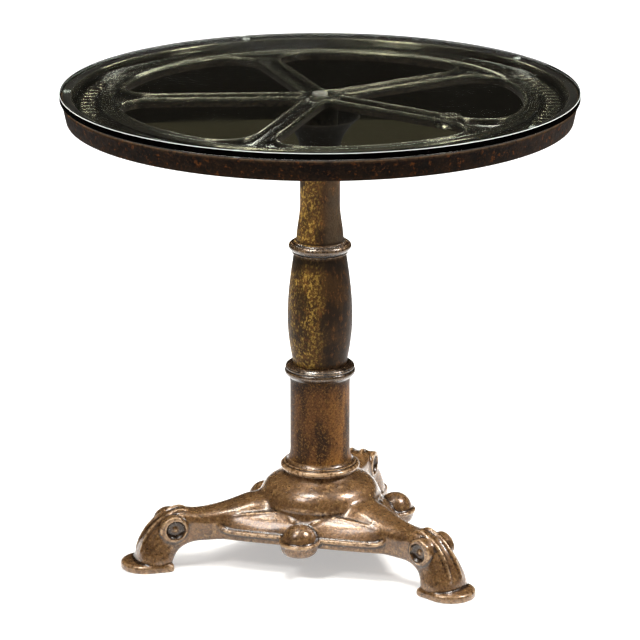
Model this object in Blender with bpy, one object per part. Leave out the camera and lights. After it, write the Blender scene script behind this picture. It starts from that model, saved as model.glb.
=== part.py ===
"""Mill wheel table: a five-spoke cast-iron mill wheel under a round glass top, carried on a
turned cast-iron column and a three-legged cast base, all clamped together by one tie rod.

Units are metres, +Z is up, and the origin is on the floor under the column's axis.
"""

import math

import bmesh
import bpy
from mathutils import Matrix, Vector

# Main size
TABLE_HEIGHT = 0.7620        # from the floor to the top of the glass; the neck takes up the rest

# Fits between pieces
SEAT_GAP = 0.0003            # between faces that rest on each other
SPIGOT_CLEARANCE = 0.0003    # radial play of a spigot or a thread in its bore

# Glass top and its clear bumpers
GLASS_OVERHANG = 0.0033      # of the glass beyond the wheel's lip
GLASS_THICKNESS = 0.010
GLASS_ARRIS = 0.0012         # polished chamfer along both edges
BUMPER_RADIUS = 0.0060
BUMPER_THICKNESS = 0.0022
BUMPER_EDGE = 0.0006

# Mill wheel: heights are measured down from the top of the rim's lip
SPOKE_COUNT = 5
FIRST_SPOKE_ANGLE = 180.0
WHEEL_RADIUS = 0.4012
RIM_DEPTH = 0.0318
RIM_DRAFT = 0.0065           # how far the rim's outer face leans in over its depth
RIM_BAND = 0.0090            # thickness of the rim's hanging band
LIP_WIDTH = 0.0160
LIP_EDGE = 0.0016
CHANNEL_DROP = 0.0130        # floor of the recess between the lip and the bead ring
WEB_THICKNESS = 0.0080
CHANNEL_WIDTH = 0.0445        # from the lip to the bead ring
BEAD_HALF_WIDTH = 0.0085
BEAD_RISE = 0.0070
OPENING_LAND = 0.0160         # from the bead ring's crest to the openings between the spokes
OPENING_CORNER_RADIUS = 0.0520
OPENING_INNER_CORNER_RADIUS = 0.0100
SPOKE_WIDTH = 0.0370
RIB_WIDTH = 0.0125           # raised edge round every opening
RIB_RISE = 0.0070
SPIDER_CROWN = 0.0030        # rise of the spokes from the bead ring to the hub
HUB_BOSS_RADIUS = 0.0165
HUB_RADIUS = 0.0280
HUB_FLARE = 0.0040
HUB_TOP_DROP = 0.0045
HUB_SEAT_DROP = 0.0589       # from the lip's top down to the face that rests in the column's cup
HUB_SPIGOT_LENGTH = 0.0080
CRANK_BOSS_SPOKE = 3         # the spoke that carries the crank boss, counted from the first
CRANK_BOSS_DISTANCE = 0.2450
CRANK_BOSS_RADIUS = 0.0145
CRANK_BOSS_FLARE = 0.0060
CRANK_BOSS_TOP_DROP = 0.0010
CRANK_BORE_RADIUS = 0.0080
CRANK_BORE_DEPTH = 0.0160

# Column: three stacked castings
CAP_RADIUS = 0.0120
CAP_HEIGHT = 0.0055
CAP_EDGE = 0.0010
CAP_ROOF = 0.0015
NECK_RADIUS = 0.0315
NECK_FOOT_RADIUS = 0.0372
NECK_SWELL_SHARE = 0.44      # of the plain neck that swells towards its ring
NECK_RING_RADIUS = 0.0498
NECK_RING_HALF_HEIGHT = 0.0100
NECK_RING_FILLET = 0.0010    # left plain above and below the ring's round face
NECK_BASE_RADIUS = 0.0420
NECK_BORE = 0.0235
CUP_RADIUS = 0.0625
CUP_RISE = 0.0205            # of the cup's rim above the hub's seat
CUP_FLARE_LENGTH = 0.0555
CUP_FLARE_POWER = 2.2
CUP_WALL = 0.0050
CUP_FLOOR_RADIUS = 0.0340
BALUSTER_HEIGHT = 0.1802
BALUSTER_TOP_RADIUS = 0.0414
BALUSTER_BELLY_RADIUS = 0.0515
BALUSTER_BELLY_RISE = 0.0750  # of the belly's widest level above the baluster's foot
BALUSTER_FOOT_RADIUS = 0.0427
BALUSTER_BORE = 0.0335
DRUM_HEIGHT = 0.1762
DRUM_RADIUS = 0.0475
DRUM_BORE = 0.0385
DRUM_RING_RADIUS = 0.0561
DRUM_RING_HEIGHT = 0.0345
FLANGE_RADIUS = 0.0633
FLANGE_FOOT_RADIUS = 0.0575
FLANGE_BEAD_HEIGHT = 0.0160
FLANGE_COVE_HEIGHT = 0.0170
SPIGOT_LENGTH = 0.0060       # of each column casting in the one below it

# Three-legged base
LEG_COUNT = 3
FIRST_LEG_ANGLE = 75.0
BASE_SEAT_HEIGHT = 0.1415
BASE_NECK_RADIUS = 0.0510
BASE_NECK_HEIGHT = 0.0125
DOME_SHOULDER_RADIUS = 0.0600
DOME_SHOULDER_DROP = 0.0160   # of the dome's top below the column's seat
DOME_RADIUS = 0.0965
DOME_EDGE_HEIGHT = 0.0990     # of the dome's lower edge above the floor
DOME_LIP = 0.0040
SKIRT_SIDE = 0.1180           # from the axis to the skirt, between two legs
SKIRT_TOP_HEIGHT = 0.0610
SKIRT_HEIGHT = 0.0170
SKIRT_REACH = 0.2050          # how far the plate and the skirt run out along a leg
SKIRT_BLEND_POWER = 8.0       # how sharply the skirt turns from its side towards a leg
PANEL_RISE = 0.0265           # of the rolled panel above the skirt
PANEL_END_WIDTH = 0.0130      # panel's width beside a knob
PANEL_SWELL = 0.0135          # how much wider the panel is between the knob and the leg
KNOB_AXIS_RADIUS = 0.1260
KNOB_RADIUS = 0.0275
KNOB_LIP_RADIUS = 0.0315
KNOB_LIP_HEIGHT = 0.0580
KNOB_FOOT_RADIUS = 0.0265
KNOB_FOOT_HEIGHT = 0.0210
SKIRT_WALL = 0.0120
CAVITY_REACH = 0.1350         # how far the hollow runs out under a leg
CAVITY_WAIST_RISE = 0.0200    # of the level where the hollow starts to close in
CAVITY_WAIST_SIDE = 0.0900
CAVITY_ROOF_RADIUS = 0.0500
BASE_ROOF = 0.0250            # thickness of the casting under the column
ARM_UNDERSIDE = 0.0390
ARM_TOP_HEIGHT = 0.0888       # crest of the leg just before the knee
ARM_TOP_REACH = 0.2035
HIP_REACH = 0.0800
HIP_TOP_HEIGHT = 0.1195       # crest of the leg where it leaves the dome
HIP_HALF_WIDTH = 0.0550
HIP_CREST_POWER = 1.9         # how fast the crest falls away from the dome
HIP_WIDTH_POWER = 1.6         # how fast the leg narrows away from the dome
KNEE_REACH = 0.2270
KNEE_HEIGHT = 0.0922
KNEE_OVAL = 1.1               # power of the squarish oval that the knee's front follows
ARCH_REACH = 0.2050           # where the underside starts to curve down to the heel
HEEL_REACH = 0.2490
ANKLE_DEPTH = 0.0570          # of the leg at the floor, from its heel to its front
LEG_HALF_WIDTH = 0.0285
HEEL_HALF_WIDTH = 0.0390      # the leg spreads from its knee to its heel
KEEL_SHARE = 0.58             # of the leg's depth at which it is widest, below its crest
KEEL_POWER = 1.3              # above 1 the crest is keeled
UNDERSIDE_POWER = 0.65        # below 1 the underside is flattened
SCROLL_REACH = 0.2440         # from the axis to the scroll's centre, along the leg
SCROLL_HEIGHT = 0.0655
SCROLL_RADIUS = 0.0200
SCROLL_PROUD = 0.0010         # of the scroll's face beyond the leg's side
SCROLL_EYE_RADIUS = 0.0145
SCROLL_EYE_DEPTH = 0.0070
FOOT_HEEL_LEDGE = 0.0010      # of the pad behind the leg's heel
FOOT_TOE_LEDGE = 0.0215       # of the pad in front of the ankle
FOOT_SIDE_LEDGE = 0.0010      # of the pad beside the heel
FOOT_THICKNESS = 0.0120
FOOT_HEEL_CORNER = 0.0080
FOOT_EDGE = 0.0030

# Tie rod and the hardware that it clamps
ROD_RADIUS = 0.0080
ROD_TAIL = 0.0060            # of the rod showing below the lock nut
SPREADER_RADIUS = 0.0340
SPREADER_THICKNESS = 0.0080
WASHER_RADIUS = 0.0170
WASHER_THICKNESS = 0.0030
NUT_ACROSS_FLATS = 0.0240
NUT_HEIGHT = 0.0130
LOCK_NUT_HEIGHT = 0.0080

# Facets
TURNED_STEPS = 30
WHEEL_STEPS = 52
SMALL_STEPS = 16
BASE_STEPS = 48

# Heights worked out from the sizes above: the column from the floor up, the wheel from the top down
DRUM_SEAT = BASE_SEAT_HEIGHT + SEAT_GAP
BALUSTER_SEAT = DRUM_SEAT + DRUM_HEIGHT + SEAT_GAP
NECK_SEAT = BALUSTER_SEAT + BALUSTER_HEIGHT + SEAT_GAP
GLASS_SEAT = TABLE_HEIGHT - GLASS_THICKNESS
BUMPER_SEAT = GLASS_SEAT - SEAT_GAP - BUMPER_THICKNESS
LIP_TOP = BUMPER_SEAT - SEAT_GAP
HUB_TOP = LIP_TOP - HUB_TOP_DROP
HUB_SEAT = LIP_TOP - HUB_SEAT_DROP
NECK_TOP = HUB_SEAT - SEAT_GAP
CAP_SEAT = HUB_TOP + SEAT_GAP
CAVITY_ROOF = BASE_SEAT_HEIGHT - BASE_ROOF
SKIRT_BOTTOM = SKIRT_TOP_HEIGHT - SKIRT_HEIGHT
ROD_BORE = ROD_RADIUS + SPIGOT_CLEARANCE

# Outlines worked out from what they follow
GLASS_RADIUS = WHEEL_RADIUS + GLASS_OVERHANG
BEAD_RING_RADIUS = WHEEL_RADIUS - LIP_WIDTH - CHANNEL_WIDTH - BEAD_HALF_WIDTH
OPENING_OUTER_RADIUS = BEAD_RING_RADIUS - OPENING_LAND
ANKLE_REACH = HEEL_REACH + ANKLE_DEPTH
FOOT_HEEL_REACH = HEEL_REACH - FOOT_HEEL_LEDGE
FOOT_TIP_REACH = ANKLE_REACH + FOOT_TOE_LEDGE
FOOT_HALF_WIDTH = HEEL_HALF_WIDTH + FOOT_SIDE_LEDGE

IRON_BROWN = (0.16, 0.095, 0.05, 1.0)
IRON_DARK = (0.055, 0.045, 0.035, 1.0)
IRON_GOLD = (0.24, 0.15, 0.06, 1.0)
STEEL_GREY = (0.30, 0.29, 0.27, 1.0)
GLASS_GREEN = (0.80, 0.90, 0.85, 1.0)
CLEAR_VINYL = (0.85, 0.87, 0.84, 1.0)


def clear_scene():
    for old in list(bpy.data.objects):
        bpy.data.objects.remove(old)


def material(name, colour, roughness, metallic):
    made = bpy.data.materials.new(name)
    made.use_nodes = True
    shader = made.node_tree.nodes["Principled BSDF"]
    shader.inputs["Base Color"].default_value = colour
    shader.inputs["Roughness"].default_value = roughness
    shader.inputs["Metallic"].default_value = metallic
    return made


def place(name, shape, finish, smooth_angle=40.0):
    """Turns a bmesh into a named object with its faces out and its round faces smooth."""
    bmesh.ops.remove_doubles(shape, verts=shape.verts, dist=1e-6)
    bmesh.ops.recalc_face_normals(shape, faces=shape.faces)
    mesh = bpy.data.meshes.new(name)
    shape.to_mesh(mesh)
    shape.free()
    mesh.shade_smooth()
    mesh.set_sharp_from_angle(angle=math.radians(smooth_angle))
    made = bpy.data.objects.new(name, mesh)
    bpy.context.scene.collection.objects.link(made)
    if finish:
        mesh.materials.append(finish)
    return made


def helper(name, shape):
    """A cutter or a shape to be joined, which is no piece of its own."""
    made = place(name, shape, None)
    made.hide_render = True
    made.display_type = "WIRE"
    return made


def combine(target, other, operation):
    """Adds a Boolean to the target; the other shape stays in the scene as a guide."""
    step = target.modifiers.new(f"{operation.lower()} {other.name}", "BOOLEAN")
    step.operation = operation
    step.solver = "EXACT"
    step.object = other


def polar(radius, degrees, height=0.0):
    angle = math.radians(degrees)
    return Vector((radius * math.cos(angle), radius * math.sin(angle), height))


def arc(centre_r, centre_z, half_width, half_height, start, end, steps):
    """Points along an elliptical arc of a turned outline, angles in degrees from +r towards +z."""
    points = []
    for i in range(steps + 1):
        angle = math.radians(start + (end - start) * i / steps)
        points.append((centre_r + half_width * math.cos(angle), centre_z + half_height * math.sin(angle)))
    return points


def spun(outline, steps):
    """A closed outline of (radius, height) points spun about the Z axis."""
    shape = bmesh.new()
    verts = [shape.verts.new((r, 0.0, z)) for r, z in outline]
    edges = [shape.edges.new((a, b)) for a, b in zip(verts, verts[1:] + verts[:1])]
    bmesh.ops.spin(shape, geom=verts + edges, cent=(0, 0, 0), axis=(0, 0, 1),
                   angle=math.tau, steps=steps, use_merge=True)
    return shape


def disc(outline, steps):
    """An open outline from the axis round to the axis, spun into a solid without a bore."""
    shape = bmesh.new()
    verts = [shape.verts.new((r, 0.0, z)) for r, z in outline]
    edges = [shape.edges.new((a, b)) for a, b in zip(verts, verts[1:])]
    bmesh.ops.spin(shape, geom=verts + edges, cent=(0, 0, 0), axis=(0, 0, 1),
                   angle=math.tau, steps=steps, use_merge=True)
    bmesh.ops.remove_doubles(shape, verts=shape.verts, dist=1e-6)
    return shape


def bridged(loops, close_ends):
    """A skin over a row of point loops, all with the same count; the ends are capped or joined."""
    shape = bmesh.new()
    rows = [[shape.verts.new(p) for p in loop] for loop in loops]
    pairs = list(zip(rows, rows[1:]))
    if not close_ends:
        pairs.append((rows[-1], rows[0]))
    for low, high in pairs:
        for i in range(len(low)):
            j = (i + 1) % len(low)
            shape.faces.new((low[i], low[j], high[j], high[i]))
    if close_ends:
        shape.faces.new(rows[0][::-1])
        shape.faces.new(rows[-1])
    return shape


def moved(shape, matrix):
    bmesh.ops.transform(shape, matrix=matrix, verts=shape.verts)
    return shape


def turned_to(degrees):
    return Matrix.Rotation(math.radians(degrees), 4, "Z")


# Glass top and bumpers

def make_glass(finish):
    outline = [
        (0.0, GLASS_SEAT),
        (GLASS_RADIUS - GLASS_ARRIS, GLASS_SEAT),
        (GLASS_RADIUS, GLASS_SEAT + GLASS_ARRIS),
        (GLASS_RADIUS, TABLE_HEIGHT - GLASS_ARRIS),
        (GLASS_RADIUS - GLASS_ARRIS, TABLE_HEIGHT),
        (0.0, TABLE_HEIGHT),
    ]
    place("glass_top", disc(outline, WHEEL_STEPS), finish)


def make_bumpers(finish):
    """One clear pad on the lip at the end of every spoke."""
    outline = [
        (0.0, 0.0),
        (BUMPER_RADIUS, 0.0),
        (BUMPER_RADIUS, BUMPER_THICKNESS - BUMPER_EDGE),
        (BUMPER_RADIUS - BUMPER_EDGE, BUMPER_THICKNESS),
        (0.0, BUMPER_THICKNESS),
    ]
    distance = WHEEL_RADIUS - LIP_WIDTH / 2
    for i in range(SPOKE_COUNT):
        angle = FIRST_SPOKE_ANGLE + i * 360.0 / SPOKE_COUNT
        pad = place(f"glass_bumper_{i + 1}", disc(outline, SMALL_STEPS), finish)
        pad.location = polar(distance, angle, BUMPER_SEAT)


# Mill wheel

def rim_outline():
    """Section through the rim: hanging band, lip, recessed channel, bead ring and web."""
    floor = LIP_TOP - CHANNEL_DROP
    underside = floor - WEB_THICKNESS
    bottom = LIP_TOP - RIM_DEPTH
    lip_inner = WHEEL_RADIUS - LIP_WIDTH
    band_inner = WHEEL_RADIUS - RIM_DRAFT - RIM_BAND
    bead = arc(BEAD_RING_RADIUS, floor, BEAD_HALF_WIDTH, BEAD_RISE, 0.0, 180.0, 6)
    return [
        (band_inner, bottom),
        (WHEEL_RADIUS - RIM_DRAFT - LIP_EDGE, bottom),
        (WHEEL_RADIUS - RIM_DRAFT, bottom + LIP_EDGE),
        (WHEEL_RADIUS, LIP_TOP - LIP_EDGE),
        (WHEEL_RADIUS - LIP_EDGE, LIP_TOP),
        (lip_inner + LIP_EDGE, LIP_TOP),
        (lip_inner, LIP_TOP - LIP_EDGE),
        (lip_inner - LIP_EDGE, floor),
        *bead,
        (BEAD_RING_RADIUS - BEAD_HALF_WIDTH, underside),
        (band_inner, underside),
    ]


def opening_outline(inset):
    """Plan outline of the opening centred on +X, moved outwards into the iron by inset.

    The opening is a sector between two spokes with its corners rounded."""
    half_turn = math.pi / SPOKE_COUNT
    side = SPOKE_WIDTH / 2 - inset
    outer = OPENING_OUTER_RADIUS + inset
    corner = OPENING_CORNER_RADIUS + inset
    nose = OPENING_INNER_CORNER_RADIUS + inset
    # Corner circles touch the spoke's side; the outer pair also touches the outer arc.
    reach = math.sqrt((outer - corner) ** 2 - (side + corner) ** 2)
    along = Vector((math.cos(half_turn), math.sin(half_turn)))
    across = Vector((math.sin(half_turn), -math.cos(half_turn)))
    corner_centre = along * reach + across * (side + corner)
    nose_centre = Vector(((side + nose) / math.sin(half_turn), 0.0))
    outer_angle = math.atan2(corner_centre.y, corner_centre.x)
    side_angle = half_turn + math.pi / 2
    upper = []
    arc_steps, corner_steps, nose_steps = 4, 5, 3
    for i in range(arc_steps):
        angle = outer_angle * i / arc_steps
        upper.append(Vector((math.cos(angle), math.sin(angle))) * outer)
    for i in range(corner_steps + 1):
        angle = outer_angle + (side_angle - outer_angle) * i / corner_steps
        upper.append(corner_centre + Vector((math.cos(angle), math.sin(angle))) * corner)
    for i in range(nose_steps):
        angle = side_angle + (math.pi - side_angle) * i / nose_steps
        upper.append(nose_centre + Vector((math.cos(angle), math.sin(angle))) * nose)
    tip = nose_centre - Vector((nose, 0.0))
    lower = [Vector((p.x, -p.y)) for p in upper[:0:-1]]
    return upper + [tip] + lower


def spider_height(point, drop):
    """Height of a point of the spokes: drop below the lip, plus the crown towards the hub."""
    share = min(1.0, math.hypot(point.x, point.y) / BEAD_RING_RADIUS)
    return LIP_TOP - drop + SPIDER_CROWN * (1.0 - share)


def spider_shape():
    """The five spokes in one plate: every opening has a rounded raised edge."""
    shape = bmesh.new()
    floor_drop = CHANNEL_DROP
    under_drop = CHANNEL_DROP + WEB_THICKNESS
    crest_drop = CHANNEL_DROP - RIB_RISE
    shoulder_drop = CHANNEL_DROP - RIB_RISE / 2
    # From the opening's wall over the rounded edge and down to the spoke's hollow.
    rows = [
        (0.0, under_drop),
        (0.0, shoulder_drop),
        (0.25, crest_drop),
        (0.7, crest_drop),
        (1.0, floor_drop),
    ]
    web_edges, under_edges = [], []
    for i in range(SPOKE_COUNT):
        turn = Matrix.Rotation(math.radians(FIRST_SPOKE_ANGLE + (i + 0.5) * 360.0 / SPOKE_COUNT), 2)
        loops = []
        for share, drop in rows:
            points = [turn @ p for p in opening_outline(share * RIB_WIDTH)]
            loops.append([shape.verts.new((p.x, p.y, spider_height(p, drop))) for p in points])
        for low, high in zip(loops, loops[1:]):
            for j in range(len(low)):
                k = (j + 1) % len(low)
                shape.faces.new((low[j], low[k], high[k], high[j]))
        for loop, edges in ((loops[0], under_edges), (loops[-1], web_edges)):
            for j in range(len(loop)):
                pair = (loop[j], loop[(j + 1) % len(loop)])
                edges.append(shape.edges.get(pair) or shape.edges.new(pair))
    rings = []
    for drop, edges in ((under_drop, under_edges), (floor_drop, web_edges)):
        points = [polar(BEAD_RING_RADIUS, i * 360.0 / WHEEL_STEPS) for i in range(WHEEL_STEPS)]
        ring = [shape.verts.new((p.x, p.y, spider_height(p, drop))) for p in points]
        edges.extend(shape.edges.new((a, b)) for a, b in zip(ring, ring[1:] + ring[:1]))
        rings.append(ring)
        bmesh.ops.triangle_fill(shape, use_beauty=True, edges=edges)
    for i in range(WHEEL_STEPS):
        j = (i + 1) % WHEEL_STEPS
        shape.faces.new((rings[0][i], rings[0][j], rings[1][j], rings[1][i]))
    return shape


def hub_outline():
    """Section through the hub: boss above the spokes, flared stem, seat and spigot."""
    stem_top = LIP_TOP - CHANNEL_DROP - WEB_THICKNESS / 2
    spigot = NECK_BORE - SPIGOT_CLEARANCE
    return [
        (ROD_BORE, HUB_SEAT - HUB_SPIGOT_LENGTH),
        (spigot, HUB_SEAT - HUB_SPIGOT_LENGTH),
        (spigot, HUB_SEAT),
        (HUB_RADIUS, HUB_SEAT),
        (HUB_RADIUS, stem_top - HUB_FLARE),
        (HUB_RADIUS + HUB_FLARE, stem_top),
        (HUB_BOSS_RADIUS, HUB_TOP - LIP_EDGE),
        (HUB_BOSS_RADIUS - LIP_EDGE, HUB_TOP),
        (ROD_BORE, HUB_TOP),
    ]


def crank_boss_shape():
    """The boss on one spoke where the crank handle was screwed in, with its blind hole."""
    top = LIP_TOP - CRANK_BOSS_TOP_DROP
    foot = LIP_TOP - CHANNEL_DROP - WEB_THICKNESS / 2
    waist = foot + (top - foot) / 2
    shape = disc([
        (0.0, foot),
        (CRANK_BOSS_RADIUS + CRANK_BOSS_FLARE, foot),
        (CRANK_BOSS_RADIUS, waist),
        (CRANK_BOSS_RADIUS, top - LIP_EDGE),
        (CRANK_BOSS_RADIUS - LIP_EDGE, top),
        (CRANK_BORE_RADIUS, top),
        (CRANK_BORE_RADIUS, top - CRANK_BORE_DEPTH),
        (0.0, top - CRANK_BORE_DEPTH),
    ], SMALL_STEPS)
    angle = FIRST_SPOKE_ANGLE + (CRANK_BOSS_SPOKE - 1) * 360.0 / SPOKE_COUNT
    return moved(shape, Matrix.Translation(polar(CRANK_BOSS_DISTANCE, angle)))


def make_wheel(finish):
    wheel = place("mill_wheel", spun(rim_outline(), WHEEL_STEPS), finish)
    combine(wheel, helper("wheel_spider", spider_shape()), "UNION")
    combine(wheel, helper("wheel_hub", spun(hub_outline(), TURNED_STEPS)), "UNION")
    combine(wheel, helper("wheel_crank_boss", crank_boss_shape()), "UNION")
    bore = bmesh.new()
    bmesh.ops.create_cone(bore, cap_ends=True, segments=TURNED_STEPS, radius1=ROD_BORE, radius2=ROD_BORE,
                          depth=4 * HUB_SEAT_DROP)
    combine(wheel, helper("wheel_bore", moved(bore, Matrix.Translation((0, 0, LIP_TOP)))), "DIFFERENCE")


# Column castings

def make_neck(finish):
    """Upper casting: the cup that takes the wheel's hub, the slim neck and its ring."""
    cup_top = NECK_TOP + CUP_RISE
    flare_foot = cup_top - CUP_FLARE_LENGTH
    ring_level = NECK_SEAT + NECK_RING_HALF_HEIGHT
    swell_foot = NECK_SEAT + 2 * NECK_RING_HALF_HEIGHT
    swell_rise = (flare_foot - swell_foot) * NECK_SWELL_SHARE
    outline = [
        (NECK_BORE, NECK_SEAT - SPIGOT_LENGTH),
        (BALUSTER_BORE - SPIGOT_CLEARANCE, NECK_SEAT - SPIGOT_LENGTH),
        (BALUSTER_BORE - SPIGOT_CLEARANCE, NECK_SEAT),
        (NECK_BASE_RADIUS, NECK_SEAT),
    ]
    outline += arc(NECK_BASE_RADIUS, ring_level, NECK_RING_RADIUS - NECK_BASE_RADIUS,
                   NECK_RING_HALF_HEIGHT - NECK_RING_FILLET, -75.0, 75.0, 5)
    swell_steps, flare_steps = 3, 5
    for i in range(swell_steps + 1):
        share = i / swell_steps
        ease = (1.0 + math.cos(math.pi * share)) / 2
        radius = NECK_RADIUS + (NECK_FOOT_RADIUS - NECK_RADIUS) * ease
        outline.append((radius, swell_foot + swell_rise * share))
    for i in range(flare_steps + 1):
        share = i / flare_steps
        spread = (CUP_RADIUS - NECK_RADIUS) * share ** CUP_FLARE_POWER
        outline.append((NECK_RADIUS + spread, flare_foot + CUP_FLARE_LENGTH * share))
    outline += [
        (CUP_RADIUS - CUP_WALL, cup_top),
        (CUP_FLOOR_RADIUS, NECK_TOP),
        (NECK_BORE, NECK_TOP),
    ]
    place("column_neck", spun(outline, TURNED_STEPS), finish)


def make_baluster(finish):
    """Middle casting: swells from its foot to the belly and narrows again to the top."""
    top = BALUSTER_SEAT + BALUSTER_HEIGHT
    belly = BALUSTER_SEAT + BALUSTER_BELLY_RISE
    spigot = DRUM_BORE - SPIGOT_CLEARANCE
    outline = [
        (BALUSTER_BORE, BALUSTER_SEAT - SPIGOT_LENGTH),
        (spigot, BALUSTER_SEAT - SPIGOT_LENGTH),
        (spigot, BALUSTER_SEAT),
    ]
    steps = 5
    for i in range(steps):
        share = i / steps
        swell = math.sin(math.pi / 2 * share)
        radius = BALUSTER_FOOT_RADIUS + (BALUSTER_BELLY_RADIUS - BALUSTER_FOOT_RADIUS) * swell
        outline.append((radius, BALUSTER_SEAT + BALUSTER_BELLY_RISE * share))
    for i in range(steps + 1):
        share = i / steps
        swell = math.cos(math.pi / 2 * share)
        radius = BALUSTER_TOP_RADIUS + (BALUSTER_BELLY_RADIUS - BALUSTER_TOP_RADIUS) * swell
        outline.append((radius, belly + (top - belly) * share))
    outline.append((BALUSTER_BORE, top))
    place("column_baluster", spun(outline, TURNED_STEPS), finish)


def make_drum(finish):
    """Lower casting: foot flange, straight drum and the heavy ring that takes the baluster."""
    top = DRUM_SEAT + DRUM_HEIGHT
    ring_half = DRUM_RING_HEIGHT / 2
    bead_half = FLANGE_BEAD_HEIGHT / 2
    outline = [(DRUM_BORE, DRUM_SEAT)]
    outline += arc(FLANGE_FOOT_RADIUS, DRUM_SEAT + bead_half, FLANGE_RADIUS - FLANGE_FOOT_RADIUS,
                   bead_half, -90.0, 90.0, 5)
    cove_steps = 3
    cove_foot = DRUM_SEAT + FLANGE_BEAD_HEIGHT
    for i in range(1, cove_steps + 1):
        turn = math.pi / 2 * i / cove_steps
        radius = FLANGE_FOOT_RADIUS - (FLANGE_FOOT_RADIUS - DRUM_RADIUS) * math.sin(turn)
        outline.append((radius, cove_foot + FLANGE_COVE_HEIGHT * (1.0 - math.cos(turn))))
    outline += arc(DRUM_RADIUS, top - ring_half, DRUM_RING_RADIUS - DRUM_RADIUS, ring_half, -90.0, 80.0, 6)
    outline += [(BALUSTER_FOOT_RADIUS + SEAT_GAP, top), (DRUM_BORE, top)]
    place("column_drum", spun(outline, TURNED_STEPS), finish)


# Base casting

def side_distance(side, reach, angle_from_knob):
    """Plan distance to a straight side between two legs, blended off towards the leg."""
    straight = side / math.cos(angle_from_knob)
    blend = straight ** -SKIRT_BLEND_POWER + reach ** -SKIRT_BLEND_POWER
    return blend ** (-1.0 / SKIRT_BLEND_POWER)


def panel_width(angle_from_knob):
    """Plan width of the rolled panel: it swells between the knob and the leg."""
    return PANEL_END_WIDTH + PANEL_SWELL * math.sin(LEG_COUNT * abs(angle_from_knob))


def base_loop(radius_at, height):
    """One level of the base: radius_at takes the angle from the nearest knob, in radians."""
    loop = []
    sector = 360.0 / LEG_COUNT
    for i in range(BASE_STEPS):
        step = i * 360.0 / BASE_STEPS
        from_knob = step % sector - sector / 2
        loop.append(polar(radius_at(math.radians(from_knob)), FIRST_LEG_ANGLE + step, height))
    return loop


def round_loop(radius, height):
    return base_loop(lambda angle: radius, height)


def skirt_loop(side, reach, height):
    return base_loop(lambda angle: side_distance(side, reach, angle), height)


def base_body_shape():
    """Neck with its spigot, dome, plate, rolled panels and skirt, bored for the tie rod."""
    spigot = DRUM_BORE - SPIGOT_CLEARANCE
    spigot_top = BASE_SEAT_HEIGHT + SPIGOT_LENGTH
    shoulder = BASE_SEAT_HEIGHT - DOME_SHOULDER_DROP
    levels = [
        (ROD_BORE, SKIRT_BOTTOM),
        (ROD_BORE, spigot_top),
        (spigot, spigot_top),
        (spigot, BASE_SEAT_HEIGHT),
        (BASE_NECK_RADIUS, BASE_SEAT_HEIGHT),
        (BASE_NECK_RADIUS, BASE_SEAT_HEIGHT - BASE_NECK_HEIGHT),
    ]
    levels += arc(DOME_SHOULDER_RADIUS, DOME_EDGE_HEIGHT, DOME_RADIUS - DOME_SHOULDER_RADIUS,
                  shoulder - DOME_EDGE_HEIGHT, 90.0, 0.0, 5)
    levels.append((DOME_RADIUS - DOME_LIP / 2, DOME_EDGE_HEIGHT - DOME_LIP))
    loops = [round_loop(radius, height) for radius, height in levels]
    roll_steps = 3
    for i in range(roll_steps + 1):
        turn = math.pi / 2 * i / roll_steps

        def roll_radius(angle, turn=turn):
            outer = side_distance(SKIRT_SIDE, SKIRT_REACH, angle)
            return outer - panel_width(angle) * (1.0 - math.sin(turn))

        loops.append(base_loop(roll_radius, SKIRT_TOP_HEIGHT + PANEL_RISE * math.cos(turn)))
    loops.append(skirt_loop(SKIRT_SIDE, SKIRT_REACH, SKIRT_BOTTOM))
    return bridged(loops, close_ends=False)


def cavity_shape():
    """The hollow under the base, open to the floor."""
    return bridged([
        skirt_loop(SKIRT_SIDE - SKIRT_WALL, CAVITY_REACH, 0.0),
        skirt_loop(SKIRT_SIDE - SKIRT_WALL, CAVITY_REACH, SKIRT_BOTTOM),
        skirt_loop(CAVITY_WAIST_SIDE, CAVITY_REACH - SKIRT_WALL, SKIRT_BOTTOM + CAVITY_WAIST_RISE),
        round_loop(CAVITY_ROOF_RADIUS, CAVITY_ROOF),
    ], close_ends=True)


def leg_sections():
    """(top point, underside point, half width) along the leg, each point (reach, height)."""
    sections = []
    arm_steps, bend_steps = 4, 4
    for i in range(arm_steps + 1):
        share = i / arm_steps
        reach = HIP_REACH + (ARM_TOP_REACH - HIP_REACH) * share
        top = ARM_TOP_HEIGHT + (HIP_TOP_HEIGHT - ARM_TOP_HEIGHT) * (1.0 - share) ** HIP_CREST_POWER
        under = min(reach, ARCH_REACH - (KNEE_REACH - ARCH_REACH) * share)
        half_width = LEG_HALF_WIDTH + (HIP_HALF_WIDTH - LEG_HALF_WIDTH) * (1.0 - share) ** HIP_WIDTH_POWER
        sections.append(((reach, top), (under, ARM_UNDERSIDE), half_width))
    # Round the knee the front follows a squarish oval and the underside an elliptical arch.
    last_turn = math.acos((FOOT_THICKNESS / 2 / KNEE_HEIGHT) ** (1.0 / KNEE_OVAL))
    for i in range(bend_steps + 1):
        turn = last_turn * i / bend_steps
        front = (KNEE_REACH + (ANKLE_REACH - KNEE_REACH) * math.sin(turn) ** KNEE_OVAL,
                 KNEE_HEIGHT * math.cos(turn) ** KNEE_OVAL)
        under = (ARCH_REACH + (HEEL_REACH - ARCH_REACH) * math.sin(turn), ARM_UNDERSIDE * math.cos(turn))
        half_width = LEG_HALF_WIDTH + (HEEL_HALF_WIDTH - LEG_HALF_WIDTH) * math.sin(turn) ** 2
        sections.append((front, under, half_width))
    return sections


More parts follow.
